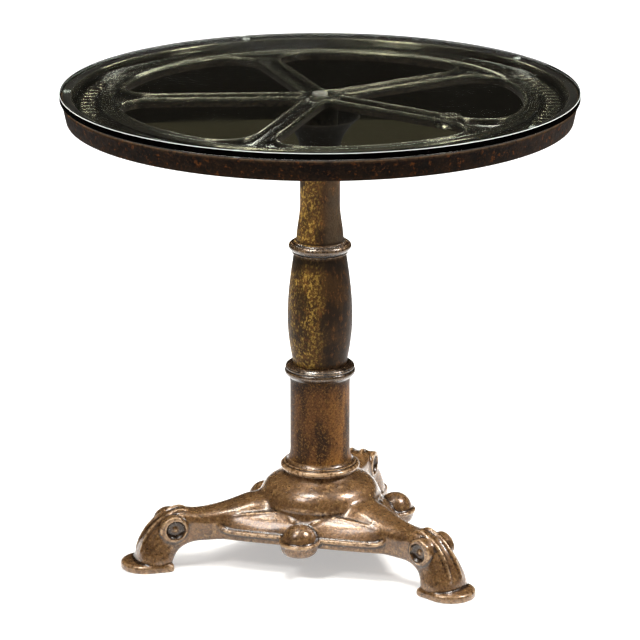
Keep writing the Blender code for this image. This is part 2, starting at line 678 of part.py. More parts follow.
def leg_shape():
    """A scrolled leg lying along +X: keeled on its top and front, flatter underneath."""
    loops = []
    points = 12
    for (top_reach, top_height), (under_reach, under_height), half_width in leg_sections():
        top = Vector((top_reach, 0.0, top_height))
        under = Vector((under_reach, 0.0, under_height))
        middle = top.lerp(under, KEEL_SHARE)
        loop = []
        for k in range(points):
            angle = math.tau * (k + 0.5) / points
            side, rise = math.cos(angle), math.sin(angle)
            power = KEEL_POWER if rise > 0 else UNDERSIDE_POWER
            side = math.copysign(abs(side) ** power, side)
            lift = (top - middle) if rise > 0 else (middle - under)
            rise = math.copysign(abs(rise) ** power, rise)
            loop.append(middle + Vector((0.0, side * half_width, 0.0)) + lift * rise)
        loops.append(loop)
    return bridged(loops, close_ends=True)


def foot_shape():
    """Flat pad under the ankle: straight heel with rounded corners and a round toe."""
    toe_centre = FOOT_TIP_REACH - FOOT_HALF_WIDTH
    outline = []
    toe_steps = 8
    for k in range(toe_steps + 1):
        angle = math.radians(-90.0 + 180.0 * k / toe_steps)
        outline.append((toe_centre + FOOT_HALF_WIDTH * math.cos(angle), FOOT_HALF_WIDTH * math.sin(angle)))
    heel_y = FOOT_HALF_WIDTH - FOOT_HEEL_CORNER
    outline += [
        (FOOT_HEEL_REACH + FOOT_HEEL_CORNER, FOOT_HALF_WIDTH),
        (FOOT_HEEL_REACH, heel_y),
        (FOOT_HEEL_REACH, -heel_y),
        (FOOT_HEEL_REACH + FOOT_HEEL_CORNER, -FOOT_HALF_WIDTH),
    ]
    middle = Vector(((FOOT_HEEL_REACH + FOOT_TIP_REACH) / 2, 0.0, 0.0))
    loops = []
    for height, inset in ((0.0, 0.0), (FOOT_THICKNESS - FOOT_EDGE, 0.0), (FOOT_THICKNESS, FOOT_EDGE)):
        share = 1.0 - inset / FOOT_HALF_WIDTH
        lift = Vector((0.0, 0.0, height))
        loops.append([middle + (Vector((x, y, 0.0)) - middle) * share + lift for x, y in outline])
    return bridged(loops, close_ends=True)


def knob_shape():
    """Half ball on a rounded cup, standing in the middle of each side of the base."""
    foot = KNOB_LIP_HEIGHT - KNOB_FOOT_HEIGHT
    outline = [(0.0, foot)]
    outline += arc(KNOB_FOOT_RADIUS, KNOB_LIP_HEIGHT, KNOB_LIP_RADIUS - KNOB_FOOT_RADIUS,
                   KNOB_FOOT_HEIGHT, -90.0, 0.0, 3)
    outline += arc(0.0, KNOB_LIP_HEIGHT, KNOB_RADIUS, KNOB_RADIUS, 0.0, 72.0, 3)
    outline.append((0.0, KNOB_LIP_HEIGHT + KNOB_RADIUS))
    return moved(disc(outline, SMALL_STEPS), Matrix.Translation((KNOB_AXIS_RADIUS, 0.0, 0.0)))


def bar_across(radius, from_side, to_side):
    """A round bar across the leg at the scroll, between two distances from the leg's middle."""
    shape = bmesh.new()
    bmesh.ops.create_cone(shape, cap_ends=True, segments=SMALL_STEPS, radius1=radius, radius2=radius,
                          depth=abs(to_side - from_side))
    centre = Vector((SCROLL_REACH, (from_side + to_side) / 2, SCROLL_HEIGHT))
    return moved(shape, Matrix.Translation(centre) @ Matrix.Rotation(math.pi / 2, 4, "X"))


def make_base(finish):
    base = place("tripod_base", base_body_shape(), finish)
    face = LEG_HALF_WIDTH + SCROLL_PROUD
    sector = 360.0 / LEG_COUNT
    for i in range(LEG_COUNT):
        number = i + 1
        along_leg = turned_to(FIRST_LEG_ANGLE + i * sector)
        between = turned_to(FIRST_LEG_ANGLE + (i + 0.5) * sector)
        combine(base, helper(f"leg_{number}", moved(leg_shape(), along_leg)), "UNION")
        combine(base, helper(f"foot_{number}", moved(foot_shape(), along_leg)), "UNION")
        combine(base, helper(f"knob_{number}", moved(knob_shape(), between)), "UNION")
        scroll = helper(f"scroll_{number}", moved(bar_across(SCROLL_RADIUS, -face, face), along_leg))
        combine(base, scroll, "UNION")
        for side, word in ((1.0, "left"), (-1.0, "right")):
            eye = bar_across(SCROLL_EYE_RADIUS, side * (face - SCROLL_EYE_DEPTH), side * 2 * face)
            combine(base, helper(f"scroll_eye_{number}_{word}", moved(eye, along_leg)), "DIFFERENCE")
    combine(base, helper("base_cavity", cavity_shape()), "DIFFERENCE")


# Tie rod and hardware

def ring_solid(outer, bore, bottom, top, steps):
    return spun([(bore, bottom), (outer, bottom), (outer, top), (bore, top)], steps)


def hex_nut(across_flats, bore, bottom, top):
    """A six-sided nut: the outer loop's radius follows the flats."""
    loops = []
    steps = 24
    for height, outer in ((bottom, False), (bottom, True), (top, True), (top, False)):
        loop = []
        for k in range(steps):
            degrees = k * 360.0 / steps
            from_flat = math.radians((degrees + 30.0) % 60.0 - 30.0)
            radius = across_flats / 2 / math.cos(from_flat) if outer else bore
            loop.append(polar(radius, degrees, height))
        loops.append(loop)
    return bridged(loops, close_ends=False)


def make_hardware(steel):
    """The rod runs from under the base up through the column and the hub into its cap."""
    spreader_top = CAVITY_ROOF - SEAT_GAP
    washer_top = spreader_top - SPREADER_THICKNESS - SEAT_GAP
    nut_top = washer_top - WASHER_THICKNESS - SEAT_GAP
    lock_top = nut_top - NUT_HEIGHT - SEAT_GAP
    lock_bottom = lock_top - LOCK_NUT_HEIGHT
    place("spreader_plate", ring_solid(SPREADER_RADIUS, ROD_BORE, spreader_top - SPREADER_THICKNESS,
                                       spreader_top, SMALL_STEPS), steel)
    place("rod_washer", ring_solid(WASHER_RADIUS, ROD_BORE, washer_top - WASHER_THICKNESS,
                                   washer_top, SMALL_STEPS), steel)
    place("rod_nut", hex_nut(NUT_ACROSS_FLATS, ROD_BORE, nut_top - NUT_HEIGHT, nut_top), steel)
    place("rod_lock_nut", hex_nut(NUT_ACROSS_FLATS, ROD_BORE, lock_bottom, lock_top), steel)
    cap_top = CAP_SEAT + CAP_HEIGHT
    rod_top = cap_top - CAP_ROOF - SEAT_GAP
    rod_bottom = lock_bottom - ROD_TAIL
    rod = [(0.0, rod_bottom), (ROD_RADIUS, rod_bottom), (ROD_RADIUS, rod_top), (0.0, rod_top)]
    place("tie_rod", disc(rod, SMALL_STEPS), steel)
    cap = [
        (0.0, cap_top - CAP_ROOF),
        (ROD_BORE, cap_top - CAP_ROOF),
        (ROD_BORE, CAP_SEAT),
        (CAP_RADIUS, CAP_SEAT),
        (CAP_RADIUS, cap_top - CAP_EDGE),
        (CAP_RADIUS - CAP_EDGE, cap_top),
        (0.0, cap_top),
    ]
    place("hub_cap_nut", disc(cap, SMALL_STEPS), steel)


def main():
    clear_scene()
    brown = material("brown_cast_iron", IRON_BROWN, 0.45, 0.6)
    gold = material("gilded_cast_iron", IRON_GOLD, 0.55, 0.6)
    dark = material("dark_cast_iron", IRON_DARK, 0.45, 0.7)
    steel = material("plain_steel", STEEL_GREY, 0.40, 1.0)
    glass = material("plate_glass", GLASS_GREEN, 0.02, 0.0)
    vinyl = material("clear_vinyl", CLEAR_VINYL, 0.30, 0.0)
    make_glass(glass)
    make_bumpers(vinyl)
    make_wheel(dark)
    make_neck(gold)
    make_baluster(gold)
    make_drum(brown)
    make_base(brown)
    make_hardware(steel)


main()
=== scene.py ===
"""Mill wheel table: a five-spoke iron mill wheel under a round glass top, on a turned iron column
and a three-legged cast base. Metres, +Z up, the column's axis on the origin."""

import math

import bmesh
import bpy
import numpy as np
from mathutils import Matrix, Vector


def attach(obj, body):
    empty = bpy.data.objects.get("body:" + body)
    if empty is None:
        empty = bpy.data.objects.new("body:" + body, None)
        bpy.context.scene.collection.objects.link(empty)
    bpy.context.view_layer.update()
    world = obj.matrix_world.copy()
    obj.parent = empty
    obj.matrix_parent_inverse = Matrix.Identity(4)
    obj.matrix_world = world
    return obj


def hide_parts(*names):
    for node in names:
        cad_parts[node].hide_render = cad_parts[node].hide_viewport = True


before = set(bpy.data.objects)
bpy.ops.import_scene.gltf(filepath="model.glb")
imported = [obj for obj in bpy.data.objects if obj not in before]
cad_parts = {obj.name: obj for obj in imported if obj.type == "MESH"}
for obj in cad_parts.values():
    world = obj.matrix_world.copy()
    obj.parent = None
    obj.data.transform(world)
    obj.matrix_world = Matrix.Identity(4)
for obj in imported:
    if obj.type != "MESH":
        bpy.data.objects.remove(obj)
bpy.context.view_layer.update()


# Base: one grey-iron casting poured in sand. A domed boss carries three scrolled legs, with a rolled
# panel and a fascia on each side of a leg, a round knob between the legs, and a hollow underneath.
# It is brown with age and waxed, and the column stands on it over a short spigot.

LEG_COUNT = 3
FIRST_LEG = 75.0
SECTOR = 360.0 / LEG_COUNT
BASE_SEAT = 0.1415
COLUMN_SPIGOT, SPIGOT_FOOT, SPIGOT_TOP = 0.0382, 0.1250, BASE_SEAT + 0.006
ROD_BORE = 0.0083
HAIR = 0.0004  # shapes that run together overlap by this
SKIRT_SIDE, SKIRT_REACH = 0.1180, 0.2050
SKIRT_TOP, SKIRT_FOOT = 0.0610, 0.0440
SIDE_CORNER = 8.0  # how tightly a straight side turns off along the leg
PLATE_REACH, PLATE_LEDGE = 0.0992, 0.0050  # the flat between the dome and a panel
PANEL_START, PANEL_SPAN = 6.0, 48.0  # degrees from the knob
PANEL_WIDTH, PANEL_WIDENING = 0.0100, 0.0175
PANEL_RISE, PANEL_ARCH = 0.0170, 0.0100
PANEL_INSET = 0.0060
PANEL_LEAN = 0.6  # share of a panel's roll that leans back straight
KNOB_AXIS = 0.1260
SCROLL_REACH, SCROLL_HEIGHT, SCROLL_FACE = 0.2440, 0.0655, 0.0303
HOLLOW_SIDE, HOLLOW_REACH, HOLLOW_TOP = 0.106, 0.135, 0.1165
HIP_REACH, HIP_HEIGHT = 0.0800, 0.1045  # where an arm runs level into the dome
HIP_RISE, HIP_FALL = 0.0307, 1.9  # of the arm's crest towards the dome
HIP_WIDENING, HIP_TAPER = 0.0165, 1.6  # of the arm's half width towards the dome
ARM_END, ARM_HEIGHT, ARM_HALF_WIDTH, ARM_UNDERSIDE = 0.2035, 0.0888, 0.0285, 0.0390
ARCH_REACH, ARCH_SHIFT = 0.2050, 0.0220
KNEE_REACH, KNEE_HEIGHT, KNEE_HALF_WIDTH = 0.2270, 0.0924, 0.0268
KNEE_BEND = 1.1
ANKLE_REACH, ANKLE_FOOT = 0.3060, 0.0060
SPREAD_START, SPREAD_SPAN = 35.0, 45.0  # degrees round the knee where the ankle widens
HEEL_REACH, HEEL_HALF_WIDTH = 0.2490, 0.0385
ARM_SQUARE, KNEE_SQUARE, ANKLE_SQUARE, UNDER_SQUARE = 0.62, 0.55, 0.75, 0.6  # 1 is round, less is squarer
WIDEST_SHARE = 0.58  # of the leg's depth, below its crest
RIDGE_SIDE = 0.36  # of the half width, where a ridge runs over the knee
RIDGE_RADIUS, BROW_RADIUS, BEAD_RADIUS, BEAD_HEIGHT = 0.0036, 0.0024, 0.0033, 0.0594
PATTERN_GRAIN, PATTERN_ROUNDS = 0.0032, 22  # the wooden pattern's large forms, filleted where they meet
CAST_GRAIN, CAST_ROUNDS = 0.0020, 2  # the ornaments set on it, as fine as the sand keeps them
BODY_STEPS, PANEL_ROWS = 192, 10
LEG_SIDES, ARM_STEPS, BEND_STEPS, KNEE_STEPS = 44, 16, 4, 24


def on_circle(radius, degrees, height=0.0):
    """A point on a circle round the Z axis."""
    angle = math.radians(degrees)
    return Vector((radius * math.cos(angle), radius * math.sin(angle), height))


def bow(centre_r, centre_z, half_width, half_height, start, end, steps):
    """Points along an elliptical bow of a turned outline, from +r towards +z in degrees."""
    turns = [math.radians(start + (end - start) * i / steps) for i in range(steps + 1)]
    return [(centre_r + half_width * math.cos(t), centre_z + half_height * math.sin(t)) for t in turns]


def turned(outline, steps, bored):
    """An outline of (radius, height) points turned round the Z axis; a bored one closes on itself."""
    shape = bmesh.new()
    rings = []
    for radius, height in outline:
        count = steps if radius > 1e-6 else 1
        rings.append([shape.verts.new(on_circle(radius, k * 360.0 / count, height)) for k in range(count)])
    pairs = list(zip(rings, rings[1:]))
    if bored:
        pairs.append((rings[-1], rings[0]))
    for low, high in pairs:
        for k in range(steps):
            j = (k + 1) % steps
            corners = [low[k % len(low)], low[j % len(low)], high[j % len(high)], high[k % len(high)]]
            shape.faces.new(list(dict.fromkeys(corners)))
    return shape


def bridged(shape, loops):
    """Rows of points with faces between each row and the next."""
    rows = [[shape.verts.new(p) for p in loop] for loop in loops]
    for low, high in zip(rows, rows[1:]):
        for k in range(len(low)):
            j = (k + 1) % len(low)
            shape.faces.new((low[k], low[j], high[j], high[k]))
    return rows


def rod(radius, foot, top, steps):
    """A plain round rod on the Z axis."""
    return turned([(0.0, foot), (radius, foot), (radius, top), (0.0, top)], steps, False)


def skinned(loops):
    """A closed skin over a row of point loops."""
    shape = bmesh.new()
    rows = bridged(shape, loops)
    shape.faces.new(rows[0][::-1])
    shape.faces.new(rows[-1])
    return shape


def beaded(path, radii, sides=10):
    """A raised bead: a round rod along a path, with a radius at every point."""
    loops = []
    across = None
    for i, point in enumerate(path):
        along = (path[min(i + 1, len(path) - 1)] - path[max(i - 1, 0)]).normalized()
        across = along.orthogonal() if across is None else across - along * across.dot(along)
        across.normalize()
        third = along.cross(across)
        turns = [math.tau * k / sides for k in range(sides)]
        loops.append([point + (across * math.cos(t) + third * math.sin(t)) * radii[i] for t in turns])
    return skinned(loops)


def poured(into, shape, matrix=Matrix()):
    """Adds a closed shape to a casting that is still being put together."""
    bmesh.ops.recalc_face_normals(shape, faces=shape.faces)
    bmesh.ops.transform(shape, matrix=matrix, verts=shape.verts)
    held = bpy.data.meshes.new("held")
    shape.to_mesh(held)
    shape.free()
    into.from_mesh(held)
    bpy.data.meshes.remove(held)


def object_from(name, shape, sharp=40.0):
    """An object of a finished shape, faces out, smooth up to the sharp angle."""
    bmesh.ops.remove_doubles(shape, verts=shape.verts, dist=1e-6)
    bmesh.ops.recalc_face_normals(shape, faces=shape.faces)
    mesh = bpy.data.meshes.new(name)
    shape.to_mesh(mesh)
    shape.free()
    mesh.shade_smooth()
    mesh.set_sharp_from_angle(angle=math.radians(sharp))
    made = bpy.data.objects.new(name, mesh)
    bpy.context.scene.collection.objects.link(made)
    return made


def settled(piece):
    """Turns a piece's modifiers into plain mesh."""
    ready = piece.evaluated_get(bpy.context.evaluated_depsgraph_get())
    mesh = bpy.data.meshes.new_from_object(ready)
    piece.modifiers.clear()
    old, piece.data = piece.data, mesh
    bpy.data.meshes.remove(old)
    return piece


def joined(piece, other, operation):
    """Adds the other shape to a piece or cuts it out, and drops the other shape."""
    step = piece.modifiers.new("join", "BOOLEAN")
    step.operation = operation
    step.solver = "MANIFOLD"
    step.object = other
    settled(piece)
    bpy.data.objects.remove(other)


def fill(made, inputs):
    """Fills a node's inputs, by name or number, with values or with other nodes' outputs."""
    for name, value in inputs.items():
        if isinstance(value, bpy.types.NodeSocket):
            made.id_data.links.new(value, made.inputs[name])
        else:
            made.inputs[name].default_value = value


def node(tree, kind, inputs=None, out=0, **settings):
    """Adds a node with its settings and inputs, and returns one of its outputs."""
    made = tree.nodes.new(kind)
    for name, value in settings.items():
        setattr(made, name, value)
    fill(made, inputs or {})
    return made.outputs[out] if made.outputs else None


# Repeats one shape round the column's axis, as a pattern maker steps it off with dividers.
round_axis = bpy.data.node_groups.new("round_the_axis", "GeometryNodeTree")
round_axis.is_modifier = True
sockets = {}
for word, kind in (("Shape", "Geometry"), ("Count", "Int"), ("First Angle", "Float"),
                   ("Step Angle", "Float"), ("Finish", "Material")):
    sockets[word] = round_axis.interface.new_socket(word, in_out="INPUT", socket_type="NodeSocket" + kind)
round_axis.interface.new_socket("Shape", in_out="OUTPUT", socket_type="NodeSocketGeometry")
given = node(round_axis, "NodeGroupInput").node.outputs
number = node(round_axis, "GeometryNodeInputIndex")
angle = node(round_axis, "ShaderNodeMath", {0: number, 1: given["Step Angle"], 2: given["First Angle"]},
             operation="MULTIPLY_ADD")
turn = node(round_axis, "ShaderNodeCombineXYZ", {"Z": angle})
places = node(round_axis, "GeometryNodePoints", {"Count": given["Count"]})
copies = node(round_axis, "GeometryNodeInstanceOnPoints",
              {"Points": places, "Instance": given["Shape"], "Rotation": turn})
whole = node(round_axis, "GeometryNodeRealizeInstances", {"Geometry": copies})
welded = node(round_axis, "GeometryNodeMergeByDistance", {"Geometry": whole, "Distance": 2e-6})
coated = node(round_axis, "GeometryNodeSetMaterial",
              {"Geometry": welded, "Material": given["Finish"]})
node(round_axis, "NodeGroupOutput", {"Shape": coated})


def stepped_round(piece, count, first, step, finish=None):
    """Repeats a piece round the axis, angles in degrees, and makes the result plain mesh."""
    repeat = piece.modifiers.new("round the axis", "NODES")
    repeat.node_group = round_axis
    for word, value in (("Count", count), ("First Angle", math.radians(first)),
                        ("Step Angle", math.radians(step)), ("Finish", finish)):
        repeat[sockets[word].identifier] = value
    return settled(piece)


def side_distance(degrees, side=SKIRT_SIDE, reach=SKIRT_REACH):
    """Plan radius at an angle from the knob: a straight side, turned off along the leg."""
    straight = side / math.cos(math.radians(degrees))
    return (straight ** -SIDE_CORNER + reach ** -SIDE_CORNER) ** (-1.0 / SIDE_CORNER)


def panel_swell(degrees):
    """0 at the knob and at the knee, 1 halfway between them."""
    share = min(1.0, max(0.0, (abs(degrees) - PANEL_START) / PANEL_SPAN))
    return math.sin(math.pi * share)


def panel_edge(degrees):
    """Plan radius of the panel's upper edge: narrow at the knob and the knee, wide between them."""
    width = PANEL_WIDTH + PANEL_WIDENING * panel_swell(degrees) ** 1.1
    return side_distance(degrees, SKIRT_SIDE - width, SKIRT_REACH - PANEL_INSET)


def panel_height(degrees):
    """Height of the panel's upper edge over the fascia, which arches up like an eyebrow."""
    return PANEL_RISE + PANEL_ARCH * panel_swell(degrees) ** 0.7


def panel_radius(degrees, height):
    """Plan radius of the rolled panel at a height above the fascia."""
    rise = min(1.0, max(0.0, (height - SKIRT_TOP) / panel_height(degrees)))
    outer = side_distance(degrees)
    roll = PANEL_LEAN * rise + (1.0 - PANEL_LEAN) * (1.0 - math.sqrt(1.0 - rise * rise))
    return outer + (panel_edge(degrees) - outer) * roll


def body_loop(radius_at, height_at):
    """One level of the boss and the panels; both functions take the angle from the nearest knob."""
    loop = []
    for k in range(BODY_STEPS):
        step = k * 360.0 / BODY_STEPS
        degrees = step % SECTOR - SECTOR / 2
        loop.append(on_circle(radius_at(degrees), FIRST_LEG + step, height_at(degrees)))
    return loop


def level_loop(radius, height):
    """One round level."""
    return body_loop(lambda a: radius, lambda a: height)


def mould(shape, grain, rounds):
    """Runs the parts of a shape together into one skin and rounds it."""
    made = object_from("mould", shape)
    skin = made.modifiers.new("one skin", "REMESH")
    skin.mode = "VOXEL"
    skin.voxel_size = grain
    soft = made.modifiers.new("rounding", "SMOOTH")
    soft.factor = 0.5
    soft.iterations = rounds
    return settled(made)


# Boss, dome, plate, rolled panels and fascia, from the column's seat down.
round_levels = [
    (0.0515, BASE_SEAT + 0.003), (0.0526, 0.1410), (0.0548, 0.1374), (0.0580, 0.1346), (0.0618, 0.1322),
    (0.0660, 0.1300), *bow(0.0590, 0.0950, 0.0375, 0.0345, 72.0, 10.0, 10), (0.0962, 0.0975),
    (0.0990, 0.0935)]
body = [level_loop(radius, height) for radius, height in round_levels]
for inset, over in ((PLATE_LEDGE, 0.0010), (0.0, 0.0)):
    body.append(body_loop(lambda a, i=inset: max(PLATE_REACH + (PLATE_LEDGE - i) * 0.4, panel_edge(a) - i),
                          lambda a, o=over: SKIRT_TOP + panel_height(a) + o))
for k in range(1, PANEL_ROWS + 1):
    share = math.cos(math.pi / 2 * k / PANEL_ROWS)
    body.append(body_loop(lambda a, s=share: panel_radius(a, SKIRT_TOP + panel_height(a) * s) + HAIR,
                          lambda a, s=share: SKIRT_TOP + panel_height(a) * s))
for inset, height in ((0.0, 0.0470), (0.0010, 0.0446), (0.0030, SKIRT_FOOT - HAIR)):
    body.append(body_loop(lambda a, i=inset: side_distance(a) - i, lambda a, h=height: h))
pattern = skinned(body)


# One leg, lying along +X: crest, underside, half width and how square the section is at each station.
def eased(share):
    """A share from 0 to 1 with a soft start and a soft end."""
    return share * share * (3.0 - 2.0 * share)


stations = []
for k in range(ARM_STEPS + 1):
    share = k / ARM_STEPS
    fall = 1.0 - share
    reach = HIP_REACH + (ARM_END - HIP_REACH) * share
    crest = min(HIP_HEIGHT, ARM_HEIGHT + HIP_RISE * fall ** HIP_FALL)
    stations.append(((reach, crest), (min(reach, ARCH_REACH - ARCH_SHIFT * share), ARM_UNDERSIDE),
                     ARM_HALF_WIDTH + HIP_WIDENING * fall ** HIP_TAPER, ARM_SQUARE))
for k in range(1, BEND_STEPS):
    share = eased(k / BEND_STEPS)
    reach = ARM_END + (KNEE_REACH - ARM_END) * k / BEND_STEPS
    stations.append(((reach, ARM_HEIGHT + (KNEE_HEIGHT - ARM_HEIGHT) * share),
                     (ARCH_REACH - ARCH_SHIFT + ARCH_SHIFT * k / BEND_STEPS, ARM_UNDERSIDE),
                     ARM_HALF_WIDTH + (KNEE_HALF_WIDTH - ARM_HALF_WIDTH) * share,
                     ARM_SQUARE + (KNEE_SQUARE - ARM_SQUARE) * share))
last_turn = math.acos((ANKLE_FOOT / KNEE_HEIGHT) ** (1.0 / KNEE_BEND))
for k in range(KNEE_STEPS + 1):
    turn = last_turn * k / KNEE_STEPS
    spread = eased(min(1.0, max(0.0, (math.degrees(turn) - SPREAD_START) / SPREAD_SPAN)))
    stations.append(((KNEE_REACH + (ANKLE_REACH - KNEE_REACH) * math.sin(turn) ** KNEE_BEND,
                      KNEE_HEIGHT * math.cos(turn) ** KNEE_BEND),
                     (ARCH_REACH + (HEEL_REACH - ARCH_REACH) * math.sin(turn),
                      ARM_UNDERSIDE * math.cos(turn)),
                     KNEE_HALF_WIDTH + (HEEL_HALF_WIDTH - KNEE_HALF_WIDTH) * spread,
                     KNEE_SQUARE + (ANKLE_SQUARE - KNEE_SQUARE) * spread))


def leg_point(station, side, rise, lift=0.0):
    """A point of the leg's skin from two shares of its half width and of its depth."""
    (top_reach, top_height), (under_reach, under_height), half_width, _ = station
    top = Vector((top_reach, 0.0, top_height))
    under = Vector((under_reach, 0.0, under_height))
    middle = top.lerp(under, WIDEST_SHARE)
    arm = (top - middle) if rise > 0 else (middle - under)
    return middle + arm * rise + Vector((0.0, half_width * side, 0.0)) + arm.normalized() * lift


def leg_loop(station):
    """The leg's skin round one station."""
    loop = []
    for k in range(LEG_SIDES):
        angle = math.tau * (k + 0.5) / LEG_SIDES
        side, rise = math.cos(angle), math.sin(angle)
        power = station[3] if rise > 0 else UNDER_SQUARE
        loop.append(leg_point(station, math.copysign(abs(side) ** power, side),
                              math.copysign(abs(rise) ** power, rise)))
    return loop


leg = skinned([leg_loop(station) for station in stations])
legs = stepped_round(object_from("legs", leg), LEG_COUNT, FIRST_LEG, SECTOR)
pattern.from_mesh(legs.data)
bpy.data.objects.remove(legs)
filleted = mould(pattern, PATTERN_GRAIN, PATTERN_ROUNDS)


# Ornaments on one third, lying along +X. The end of each roll over the knee is a flat volute, wide in
# front and closing towards the back, and twin ridges run over the knee between the two.
third = bmesh.new()
volute = [0.0256, 0.0244, 0.0230, 0.0224, 0.0214, 0.0200, 0.0190, 0.0186, 0.0190, 0.0198, 0.0206, 0.0222]
for hand in (1.0, -1.0):
    levels = []
    for inset, out in ((0.0, 0.0), (0.0, SCROLL_FACE - 0.0016), (0.0005, SCROLL_FACE - 0.0006),
                       (0.0018, SCROLL_FACE)):
        loop = []
        for k in range(4 * len(volute)):
            first, share = volute[k // 4], eased(k % 4 / 4)
            radius = first + (volute[(k // 4 + 1) % len(volute)] - first) * share - inset
            edge = on_circle(radius, k * 90.0 / len(volute))
            loop.append(Vector((SCROLL_REACH + edge.x, hand * out, SCROLL_HEIGHT + edge.y)))
        levels.append(loop)
    poured(third, skinned(levels))
    ridge = []
    for station in stations[ARM_STEPS + BEND_STEPS - 1:-4]:
        rise = (1.0 - RIDGE_SIDE ** (2.0 / station[3])) ** (station[3] / 2.0)
        ridge.append(leg_point(station, RIDGE_SIDE * hand, rise, HAIR))
    thinning = [0.0034, 0.0032, 0.0029, 0.0026, 0.0022, 0.0018, 0.0014, 0.0010]
    poured(third, beaded(ridge, [0.0014, 0.0026] + [RIDGE_RADIUS] * 12 + thinning))
    # An eyebrow ridge along the panel's upper edge, and a bead under it that ends in an upturned hook.
    brow = [on_circle(panel_edge(a) - 0.0006, hand * (SECTOR / 2 - a), SKIRT_TOP + panel_height(a) + 0.0002)
            for a in range(8, 53, 2)]
    poured(third, beaded(brow, [BROW_RADIUS] * (len(brow) - 3) + [0.0021, 0.0017, 0.0012]))
    bead = [(a, BEAD_HEIGHT) for a in range(0, 44, 4)]
    bead += [(44.0, 0.0596), (47.0, 0.0606), (49.0, 0.0634), (50.3, 0.0665), (51.3, 0.0660), (52.2, 0.0625),
             (52.8, 0.0590)]
    path = [on_circle(panel_radius(a, h) + 0.0010, hand * (SECTOR / 2 - a), h) for a, h in bead]
    poured(third, beaded(path, [BEAD_RADIUS] * (len(path) - 2) + [0.0028, 0.0022]))

# Pad under the ankle: straight heel, round toe, soft upper edge.
TOE_RADIUS, TOE_REACH = 0.040, 0.2875
PAD_CORNER, PAD_HEEL, PAD_SIDE = 0.008, 0.256, 0.032
outline = [on_circle(TOE_RADIUS, -90.0 + 180.0 * k / 24) + Vector((TOE_REACH, 0.0, 0.0)) for k in range(25)]
for first, side in ((90.0, PAD_SIDE), (180.0, -PAD_SIDE)):
    corner = Vector((PAD_HEEL, side, 0.0))
    outline += [corner + on_circle(PAD_CORNER, first + 90.0 * k / 6) for k in range(7)]
pad_middle = Vector((0.287, 0.0, 0.0))
pad = []
for inset, height in ((0.0012, 0.0), (0.0, 0.0012), (0.0, 0.0080), (0.0010, 0.0104), (0.0032, 0.0118),
                      (0.0075, 0.0128)):
    pad.append([pad_middle + (p - pad_middle) * (1.0 - inset / TOE_RADIUS) + Vector((0.0, 0.0, height))
                for p in outline])
poured(third, skinned(pad))

# Knob: half a ball over a beaded lip and a rounded cup.
knob = [
    (0.0, 0.0368), (0.0180, 0.0368), (0.0236, 0.0386), (0.0276, 0.0430), (0.0298, 0.0490),
    (0.0304, 0.0540), (0.0326, 0.0560), (0.0334, 0.0580), (0.0324, 0.0600), (0.0290, 0.0606),
    *bow(0.0, 0.0584, 0.0276, 0.0276, 8.0, 84.0, 9), (0.0, 0.0860)]
poured(third, turned(knob, 48, False), Matrix.Translation(on_circle(KNOB_AXIS, SECTOR / 2)))
thirds = stepped_round(object_from("thirds", third), LEG_COUNT, FIRST_LEG, SECTOR)
casting = bmesh.new()
casting.from_mesh(filleted.data)
casting.from_mesh(thirds.data)
dome_bead = [(0.085, 0.0940)] + bow(0.0955, 0.0972, 0.0030, 0.0026, -60.0, 90.0, 8) + [(0.085, 0.0996)]
poured(casting, turned(dome_bead, 144, True))
bpy.data.objects.remove(thirds)
bpy.data.objects.remove(filleted)
tripod_base = mould(casting, CAST_GRAIN, CAST_ROUNDS)
tripod_base.name = "cast_tripod_base"

# Scroll dishes, the hollow and the rod's hole are cut after the fettling, and the spigot is added.
dishes = bmesh.new()
dish = [(radius, SCROLL_FACE + out) for radius, out in (
    (0.0, -0.0046), (0.0022, -0.0048), (0.0036, -0.0060), (0.0052, -0.0072), (0.0098, -0.0070),
    (0.0136, -0.0052), (0.0158, -0.0014), (0.0164, 0.0012), (0.0167, 0.012), (0.0, 0.012))]
for hand in (1.0, -1.0):
    poured(dishes, turned(dish, 40, False), Matrix.Translation((SCROLL_REACH, 0.0, SCROLL_HEIGHT))
           @ Matrix.Rotation(-math.pi / 2 * hand, 4, "X"))
dishes = stepped_round(object_from("dishes", dishes), LEG_COUNT, FIRST_LEG, SECTOR)
joined(tripod_base, dishes, "DIFFERENCE")
hollow = [body_loop(lambda a, s=side, r=reach: side_distance(a, s, r), lambda a, h=height: h)
          for side, reach, height in ((HOLLOW_SIDE, HOLLOW_REACH, -0.002),
                                      (HOLLOW_SIDE, HOLLOW_REACH, SKIRT_FOOT), (0.090, 0.123, 0.064))]
hollow.append(level_loop(0.050, HOLLOW_TOP))
joined(tripod_base, object_from("hollow", skinned(hollow)), "DIFFERENCE")
joined(tripod_base, object_from("spigot", rod(COLUMN_SPIGOT, SPIGOT_FOOT, SPIGOT_TOP, 96)), "UNION")
joined(tripod_base, object_from("bore", rod(ROD_BORE, 0.020, 0.160, 48)), "DIFFERENCE")
for vertex in tripod_base.data.vertices:
    vertex.co.z = max(0.0, vertex.co.z)
    if math.hypot(vertex.co.x, vertex.co.y) > COLUMN_SPIGOT + 0.0005:
        vertex.co.z = min(BASE_SEAT, vertex.co.z)
tripod_base.data.shade_smooth()
tripod_base.data.set_sharp_from_angle(angle=math.radians(60.0))


SHARPEST_BEND, WEAR_RANGE = 900.0, 700.0  # curvature, per metre


